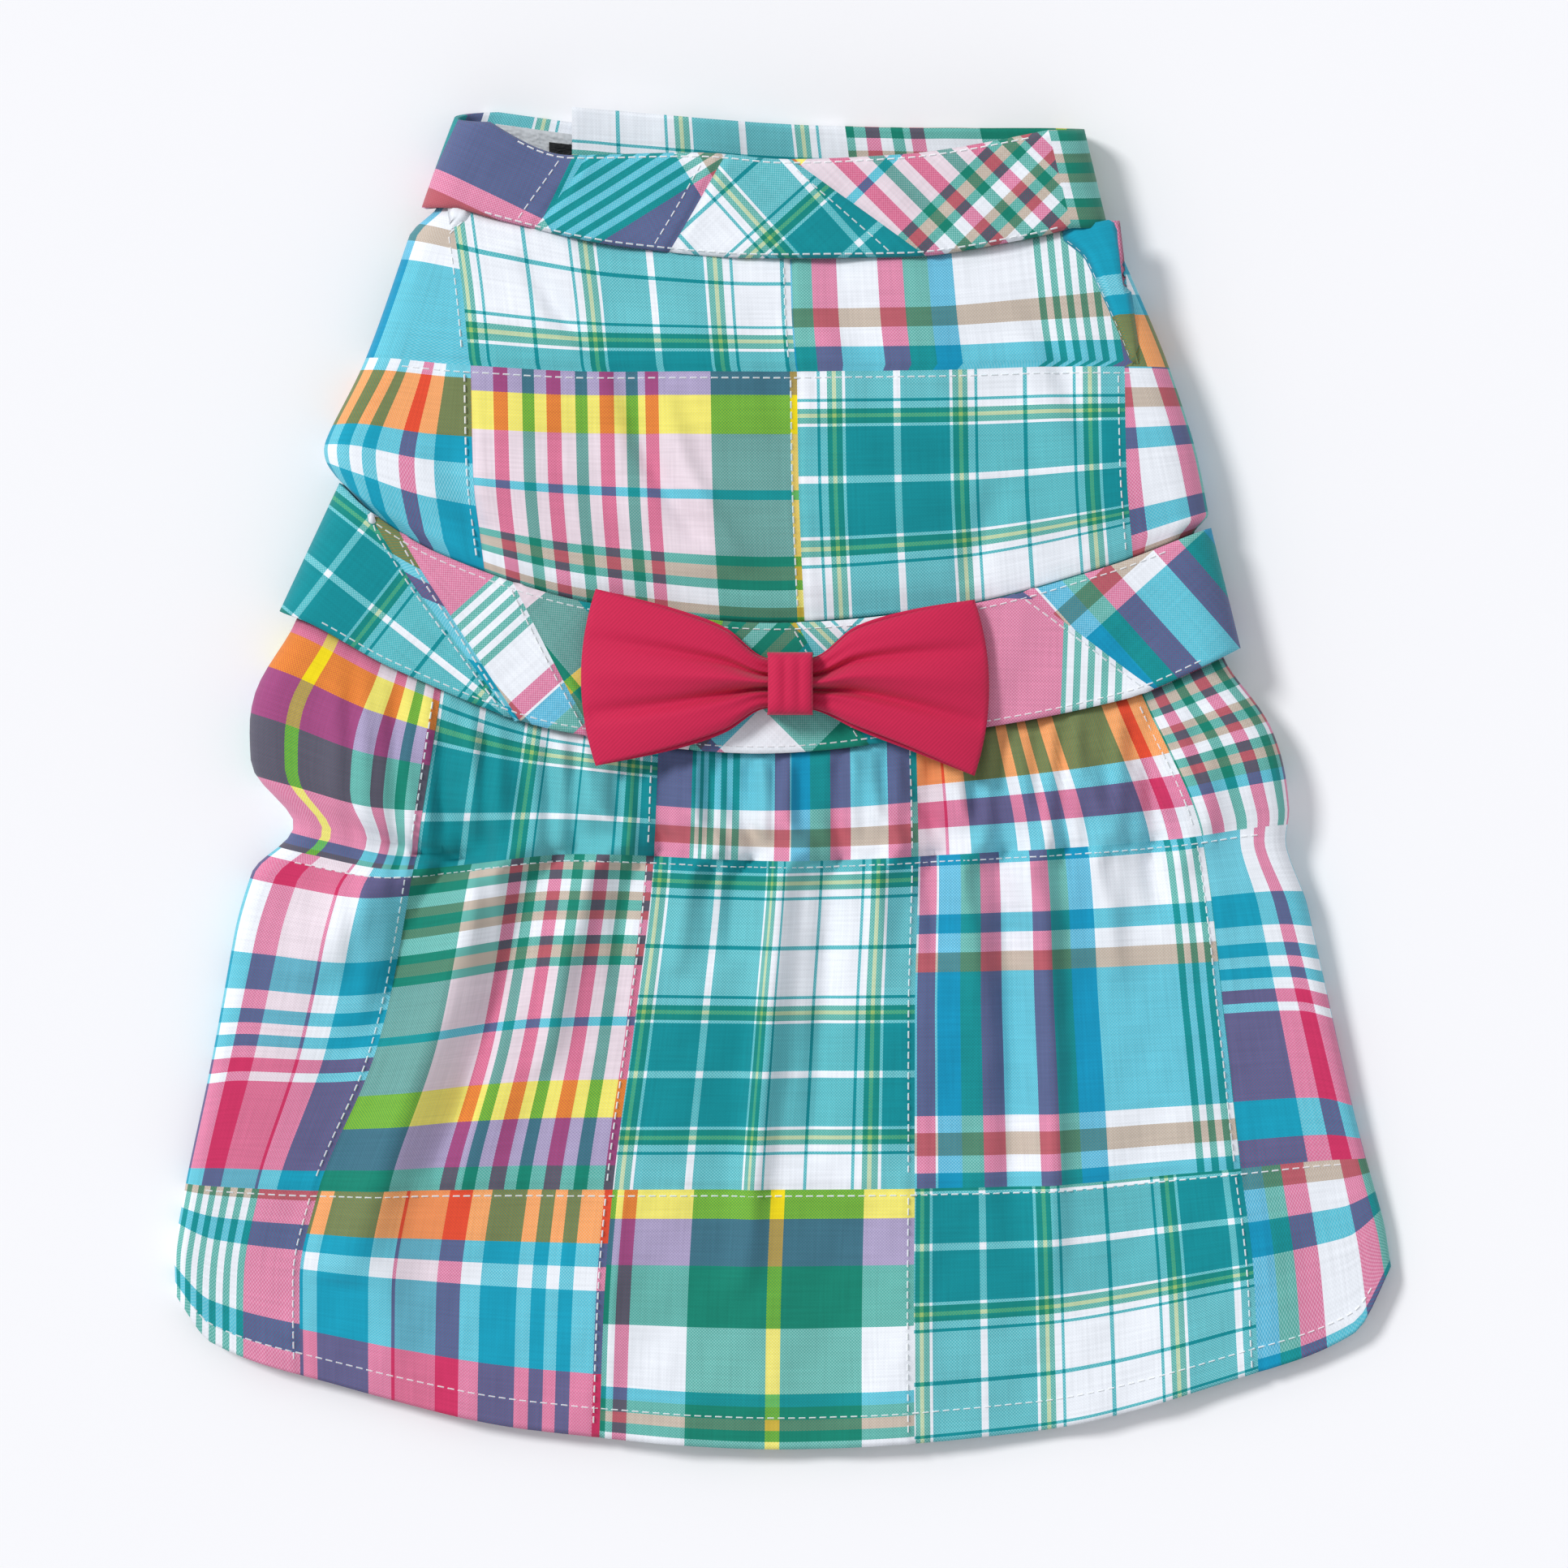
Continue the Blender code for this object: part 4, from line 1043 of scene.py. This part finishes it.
@dataclass
class Bow:
    """A flat twill bow: two folded loops and the strip knotted round their middle."""

    low: float = 21.2
    deep: float = 4.6
    columns: int = 56

    def loop(self, table: tuple, sign: int) -> np.ndarray:
        """Points of one loop: front layer from knot to tip, and the back layer to the knot.

        Args:
            table: Outline of the loop.
            sign: -1 for the left loop, 1 for the right one.

        Returns:
            The grid of points in mm.
        """
        layer = self.columns
        out = np.concatenate((np.linspace(0, 1, layer), np.linspace(1, 0, layer)))
        back = (np.arange(2 * layer) >= layer).astype(float)
        up = np.linspace(1, -1, 49)[:, None]
        x = smooth_between(column(table, 0), column(table, 1), out)
        high = smooth_between(column(table, 0), column(table, 2), out)
        foot = smooth_between(column(table, 0), column(table, 3), out)
        grow = back * 0.9 * np.sin(math.pi * out)
        middle, half = (high + foot) / 2, (high - foot) / 2 + grow
        bulge = sign * 3.4 * (1 - up**2) * out**6
        near = np.clip(1 - out, 0, 1)
        ridge = 2.8 * np.exp(-(((up - 0.05) / 0.17) ** 2)) * near**0.5
        crease = -3.6 * np.exp(-(((up + 0.42 - 0.2 * near) / 0.10) ** 2)) * near**0.4
        upper = -2.6 * np.exp(-(((up - 0.45 + 0.15 * near) / 0.09) ** 2)) * near**0.5
        fan = 0.5 * np.sin(up * 15 + 1.5) * near**2.5
        puff = self.deep * (0.55 + 0.45 * np.sin(math.pi * np.clip(out, 0, 1)) ** 0.7)
        front = self.low + (puff + ridge + crease + upper + fan) * (1 - 0.35 * np.abs(up) ** 5)
        front = front - 1.6 * out**8
        flat = np.full_like(front, self.low) + 0.4 * np.abs(up) * (1 - out)
        z = np.where(back > 0, flat, front)
        grid = np.stack(np.broadcast_arrays(x + bulge, middle + half * up, z), axis=-1)
        return grid if sign > 0 else grid[::-1]

    def add(
        self, name: str, grid: np.ndarray, node: str, finish: bpy.types.Material, wall: float
    ) -> bpy.types.Object:
        """Adds one twill piece that stands for a node of the CAD model.

        Args:
            name: The piece's name.
            grid: Points in mm.
            node: The CAD node.
            finish: The twill material.
            wall: Thickness in mm.

        Returns:
            The new object.
        """
        uv, indices = plain_uv(grid)
        piece = add_grid(name, grid, uv, indices, [finish], wall)
        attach(piece, "root")
        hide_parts(node)
        return piece

    def build(self, finish: bpy.types.Material) -> list:
        """Builds both loops and the knot.

        Args:
            finish: The twill material.

        Returns:
            The three pieces.
        """
        left = self.add("bow_loop_left", self.loop(BOW_LEFT, -1), "bow_loops", finish, 0.6)
        right = self.add("bow_loop_right", self.loop(BOW_RIGHT, 1), "bow_loops", finish, 0.6)
        angle = np.linspace(0, 2 * math.pi, 73)
        out = np.linspace(1, -1, 17)[:, None]
        y = 21.7 + 6.6 * np.sign(np.cos(angle)) * np.abs(np.cos(angle)) ** 0.45
        z = 24.7 + 4.4 * np.sign(np.sin(angle)) * np.abs(np.sin(angle)) ** 0.45
        x = 1.6 + out * (5.3 - 0.5 * np.abs(np.sin(angle)))
        z = z + 0.22 * np.sin(out * 9 + 0.8) * np.clip(np.sin(angle), 0, 1) - 0.5 * out**6 * np.sin(angle)
        grid = np.stack(np.broadcast_arrays(x, y, z), axis=-1)
        knot = self.add("bow_knot_strip", grid[::-1], "bow_knot", finish, 0.7)
        log.info("bow: %d faces", len(left.data.polygons) + len(right.data.polygons))
        return [left, right, knot]


@dataclass
class Fastenings:
    """The hook-and-loop tapes of the neck and the belly; the neck's black hook strip is also painted shadow
    under the lapped band end.
    """

    columns: int = 90
    rows: int = 60
    wall: float = 0.7

    def pad(
        self, name: str, node: str, finish: bpy.types.Material, nap: float
    ) -> bpy.types.Object:
        """A tape with a nap on its upper side, as large as the CAD node that it stands for.

        Args:
            name: The piece's name.
            node: The CAD node.
            finish: The tape's material.
            nap: Height of the loops or hooks in mm.

        Returns:
            The tape's object.
        """
        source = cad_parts[node]
        points = np.array([corner.co for corner in source.data.vertices])
        low, high = points.min(axis=0), points.max(axis=0)
        slope = {"neck_loop_tape": -0.14, "neck_hook_tape": -0.12}.get(node, 0.0)
        length, height = (high - low)[:2]
        height = height - abs(slope) * length
        middle = (low[1] + high[1]) / 2
        # The neck's hook strip is made narrower and lower than its CAD node; its black is hook tape and
        # also painted shadow beside the lapped band end.
        if node == "neck_hook_tape":
            height = height * 0.55
            middle = middle - height * 0.3
        across, along = np.meshgrid(np.linspace(-0.5, 0.5, self.columns), np.linspace(-0.5, 0.5, self.rows))
        x = (low[0] + high[0]) / 2 + across * length
        y = middle + along * height + slope * across * length
        chance = np.random.default_rng(3)
        edge = np.minimum(0.5 - np.abs(across), 0.5 - np.abs(along)) * 2
        fuzz = chance.uniform(0, nap, x.shape) * MM * np.clip(edge * 8, 0.2, 1)
        z = high[2] - 0.3 * MM + fuzz
        grid = np.stack((x, y, z), axis=-1)[::-1] / MM
        uv, indices = plain_uv(grid)
        piece = add_grid(name, grid, uv, indices, [finish], self.wall)
        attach(piece, "root")
        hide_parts(node)
        log.info("%s: %d faces", name, len(piece.data.polygons))
        return piece

    def build(self, loops: bpy.types.Material, hooks_and_painted_shadow: bpy.types.Material) -> list:
        """Builds the three tapes from the loop and the hook material; the hooks' black is also painted
        shadow at the neck.
        """
        return [
            self.pad("neck_loop_pile", "neck_loop_tape", loops, 0.5),
            self.pad("neck_hook_pile_and_painted_shadow", "neck_hook_tape", hooks_and_painted_shadow, 0.3),
            self.pad("belly_pile", "belly_tape", loops, 0.4),
        ]


def linear(hex_code: str) -> tuple:
    """An sRGB hex colour as linear red, green, blue and alpha."""
    parts = [int(hex_code[i : i + 2], 16) / 255 for i in (0, 2, 4)]
    return tuple(c / 12.92 if c <= 0.04045 else ((c + 0.055) / 1.055) ** 2.4 for c in parts) + (1.0,)


def add_node(
    tree: bpy.types.NodeTree, kind: str, settings: dict | None = None, **inputs: object
) -> bpy.types.Node:
    """Adds a shader node.

    Args:
        tree: The node tree.
        kind: Blender's name of the node type, without ShaderNode.
        settings: The node's own settings by name.
        inputs: Values or output sockets by input, with _ and a number for an input's place.

    Returns:
        The node.
    """
    node = tree.nodes.new("ShaderNode" + kind)
    for name, value in (settings or {}).items():
        setattr(node, name, value)
    for name, value in inputs.items():
        socket = node.inputs[int(name[1:]) if name[0] == "_" else name.replace("_", " ")]
        if isinstance(value, bpy.types.NodeSocket):
            tree.links.new(value, socket)
        else:
            socket.default_value = value
    return node


def maths(tree: bpy.types.NodeTree, operation: str, *values: object) -> bpy.types.NodeSocket:
    """The output of a maths node whose inputs are the values or sockets, in their order."""
    inputs = {f"_{number}": value for number, value in enumerate(values)}
    return add_node(tree, "Math", {"operation": operation}, **inputs).outputs[0]


def new_material(name: str) -> tuple:
    """A new material with nodes.

    Args:
        name: The material's name.

    Returns:
        The material, its node tree and its shader.
    """
    material = bpy.data.materials.new(name)
    material.use_nodes = True
    return material, material.node_tree, material.node_tree.nodes["Principled BSDF"]


def stripe_ramp(
    tree: bpy.types.NodeTree, place: bpy.types.NodeSocket, sequence: tuple
) -> bpy.types.NodeSocket:
    """A repeating row of yarn colours along one direction of the cloth.

    Args:
        tree: The node tree.
        place: Output that holds the place in mm.
        sequence: Pairs of yarn and width.

    Returns:
        The colour output.
    """
    total = sum(width for _, width in sequence)
    way = maths(tree, "FRACT", maths(tree, "MULTIPLY", place, 1 / total))
    ramp = add_node(tree, "ValToRGB", None, Fac=way)
    ramp.color_ramp.interpolation = "CONSTANT"
    reached = 0.0
    for number, (yarn, width) in enumerate(sequence):
        stops = ramp.color_ramp.elements
        stop = stops[0] if number == 0 else stops[1] if number == 1 else stops.new(reached / total)
        stop.position = reached / total
        stop.color = linear(yarn.value)
        reached += width
    return ramp.outputs["Color"]


@dataclass(frozen=True)
class MadrasFinish:
    """Woven madras cotton: yarn-dyed stripes both ways that mix where they cross, matt and soft."""

    cloth: Cloth
    pitch: float = 0.72
    mix_gamma: float = 4.0
    roughness: float = 0.86

    def build(self) -> bpy.types.Material:
        """Makes the material. The weave is drawn at twice its real pitch, or it would vanish.

        Returns:
            The cotton: crossing stripes, a fine weave, uneven yarns and a dry, faint sheen.
        """
        material, tree, shader = new_material("woven_madras_cotton_" + self.cloth.name)
        cloth_map = add_node(tree, "UVMap", {"uv_map": "cloth"})
        split = add_node(tree, "SeparateXYZ", None, Vector=cloth_map.outputs[0])
        u, v = split.outputs[0], split.outputs[1]
        turns = 2 * math.pi / self.pitch
        waves = [maths(tree, "SINE", maths(tree, "MULTIPLY", place, turns)) for place in (u, v)]
        weave = maths(tree, "MULTIPLY", *waves)
        share = maths(tree, "MULTIPLY_ADD", weave, 0.16, 0.52)
        yarns = []
        for place, sequence in ((u, self.cloth.warp), (v, self.cloth.weft)):
            colour = stripe_ramp(tree, place, sequence)
            yarns.append(add_node(tree, "Gamma", None, Color=colour, Gamma=1 / self.mix_gamma).outputs[0])
        blend = add_node(tree, "Mix", {"data_type": "RGBA"}, Factor=share)
        tree.links.new(yarns[0], blend.inputs[6])
        tree.links.new(yarns[1], blend.inputs[7])
        mixed = add_node(tree, "Gamma", None, Color=blend.outputs[2], Gamma=self.mix_gamma).outputs[0]
        slubs = []
        for stretch in ((1.6, 0.06, 1.0), (0.06, 1.6, 1.0)):
            stretched = add_node(tree, "Mapping", None, Vector=cloth_map.outputs[0], Scale=stretch)
            noise = add_node(tree, "TexNoise", None, Vector=stretched.outputs[0], Scale=1.0, Detail=2.0)
            slubs.append(noise.outputs[0])
        uneven = maths(tree, "MULTIPLY_ADD", maths(tree, "ADD", *slubs), 0.26, 0.80)
        grain = maths(tree, "MULTIPLY_ADD", weave, 0.05, uneven)
        shaded = add_node(tree, "VectorMath", {"operation": "SCALE"}, _0=mixed, Scale=grain)
        tree.links.new(shaded.outputs[0], shader.inputs["Base Color"])
        bump = add_node(tree, "Bump", None, Strength=0.35, Distance=0.0002, Height=grain)
        tree.links.new(bump.outputs[0], shader.inputs["Normal"])
        shader.inputs["Roughness"].default_value = self.roughness
        shader.inputs["Sheen Weight"].default_value = 0.12
        shader.inputs["Specular IOR Level"].default_value = 0.2
        return material


@dataclass(frozen=True)
class PlainFinish:
    """One colour with a fine diagonal or random grain: twill, thread, loop or hook tape."""

    name: str
    colour: str
    roughness: float
    sheen: float = 0.0
    twill: float = 0.0
    grain: float = 0.10
    rib_turns: float = 6200.0

    def build(self) -> bpy.types.Material:
        """Makes the material, its grain on object coordinates.

        Returns:
            One colour, broken up by ribs or specks that catch the light.
        """
        material, tree, shader = new_material(self.name)
        place = add_node(tree, "TexCoord").outputs["Object"]
        split = add_node(tree, "SeparateXYZ", None, Vector=place)
        diagonal = maths(tree, "SUBTRACT", split.outputs[0], split.outputs[1])
        lines = maths(tree, "SINE", maths(tree, "MULTIPLY", diagonal, self.rib_turns))
        noise = add_node(tree, "TexNoise", None, Vector=place, Scale=900.0, Detail=3.0)
        ribs = maths(tree, "MULTIPLY", lines, self.twill)
        grain = maths(tree, "MULTIPLY_ADD", noise.outputs[0], self.grain, ribs)
        light = maths(tree, "ADD", grain, 1 - self.grain / 2)
        shaded = add_node(tree, "VectorMath", {"operation": "SCALE"}, Scale=light)
        shaded.inputs[0].default_value = linear(self.colour)[:3]
        tree.links.new(shaded.outputs[0], shader.inputs["Base Color"])
        bump = add_node(tree, "Bump", None, Strength=0.4, Distance=0.0002, Height=grain)
        tree.links.new(bump.outputs[0], shader.inputs["Normal"])
        shader.inputs["Roughness"].default_value = self.roughness
        shader.inputs["Sheen Weight"].default_value = self.sheen
        shader.inputs["Specular IOR Level"].default_value = 0.25
        return material


@dataclass
class Studio:
    """A white table, soft daylight from the upper left and a camera straight above."""

    lens: float = 200.0
    width: float = 0.36708

    def build(self) -> None:
        """Adds floor, lights, world and camera."""
        scene = bpy.context.scene
        bpy.ops.mesh.primitive_plane_add(size=3.0, location=(0, 0, -0.0006))
        floor = bpy.context.active_object
        floor.name = "white_table"
        paper, _, shader = new_material("white_table_top")
        shader.inputs["Base Color"].default_value = linear("F9F9FB")
        shader.inputs["Roughness"].default_value = 0.9
        floor.data.materials.append(paper)
        world = bpy.data.worlds.new("daylight")
        world.use_nodes = True
        world.node_tree.nodes["Background"].inputs[0].default_value = linear("F8F9FD")
        world.node_tree.nodes["Background"].inputs[1].default_value = 0.60
        scene.world = world
        light = bpy.data.lights.new("window", "SUN")
        light.energy = 1.95
        light.angle = math.radians(14)
        window = bpy.data.objects.new("window", light)
        window.rotation_euler = Vector((-0.85, 0.55, 1.0)).to_track_quat("Z", "Y").to_euler()
        scene.collection.objects.link(window)
        camera_data = bpy.data.cameras.new("camera")
        camera_data.lens = self.lens
        camera_data.sensor_width = 36.0
        camera_data.clip_end = 10.0
        camera = bpy.data.objects.new("camera", camera_data)
        camera.location = (0.0002, -0.0016, self.width * self.lens / 36.0 + 0.008)
        scene.collection.objects.link(camera)
        scene.camera = camera
        scene.view_settings.view_transform = "Standard"


def panels() -> tuple:
    """The three wrapped cloths, each with its seams and patches.

    Returns:
        Bodice, waistband and skirt.
    """
    bodice = BodicePanel(
        "bodice", BODICE_LINES, NECK_SEAM_Y, BODICE_LENGTH, BODICE_HEIGHTS, (0.0, 0.31, 1.0),
        (BODICE_UPPER_SEAMS, BODICE_LOWER_SEAMS), BODICE_PATCHES, BODICE_FOLDS,
        top_step=1.0, foot_step=1.0, seed=3, flat=(0.41, 0.088), held="folded",
    )
    waistband = Panel(
        "waistband", WAISTBAND_LINES, WAIST_TOP_Y, WAISTBAND_HEIGHT, WAISTBAND_HEIGHTS, (0.0, 1.0),
        (WAISTBAND_SEAMS,), WAISTBAND_PATCHES, turn=14.0, seed=9, roughness=0.7, wall=1.2,
        flat=(0.285, 0.0310), held="folded", rests_on=("bodice", "skirt"),
        stitch_rows=((0.05, 0.05, 2.0), (0.95, 0.95, 2.0)),
    )
    skirt = Panel(
        "skirt", SKIRT_LINES, WAIST_SEAM_Y, SKIRT_LENGTH, SKIRT_HEIGHTS, (0.0, 0.154, 0.626, 1.0),
        (SKIRT_SEAMS,) * 3, SKIRT_PATCHES, SKIRT_FOLDS, SKIRT_SIDE_WAVES, top_step=1.0, seed=5,
        flat=(0.36, 0.165), held="gathered", stitch_rows=((0.955, 0.96, 4.0),), ripple=1.15,
    )
    return bodice, waistband, skirt


def main() -> None:
    """Builds every sub-assembly in order and reports it."""
    cloths = [MadrasFinish(cloth).build() for cloth in CLOTHS]
    # Raspberry twill with fine diagonal ribs, smooth bright thread, fluffy grey loops, black hooks that are
    # also painted shadow at the neck
    twill = PlainFinish("cotton_twill", "C81E4C", 0.75, sheen=0.15, twill=0.09).build()
    thread = PlainFinish("polyester_thread", "F2F4F6", 0.6).build()
    loops = PlainFinish("hook_and_loop_tape_loops", "C9CDD0", 0.95, grain=0.5).build()
    hooks_and_painted_shadow = PlainFinish("hook_tape_black_and_painted_shadow", "16181A", 0.55, grain=0.4).build()
    for panel in panels():
        piece = panel.build(cloths)
        threads = Threads(panel.name + "_stitches")
        panel.stitch_seams(threads)
        stitches = threads.build(thread)
        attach(stitches, "root")
    threads = Threads("neckband_stitches")
    strip = Neckband().build(cloths, threads)
    stitches = threads.build(thread)
    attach(stitches, "root")
    Bow().build(twill)
    Fastenings().build(loops, hooks_and_painted_shadow)
    Studio().build()


if __name__ == "__main__":
    logging.basicConfig(level=logging.INFO)
    main()
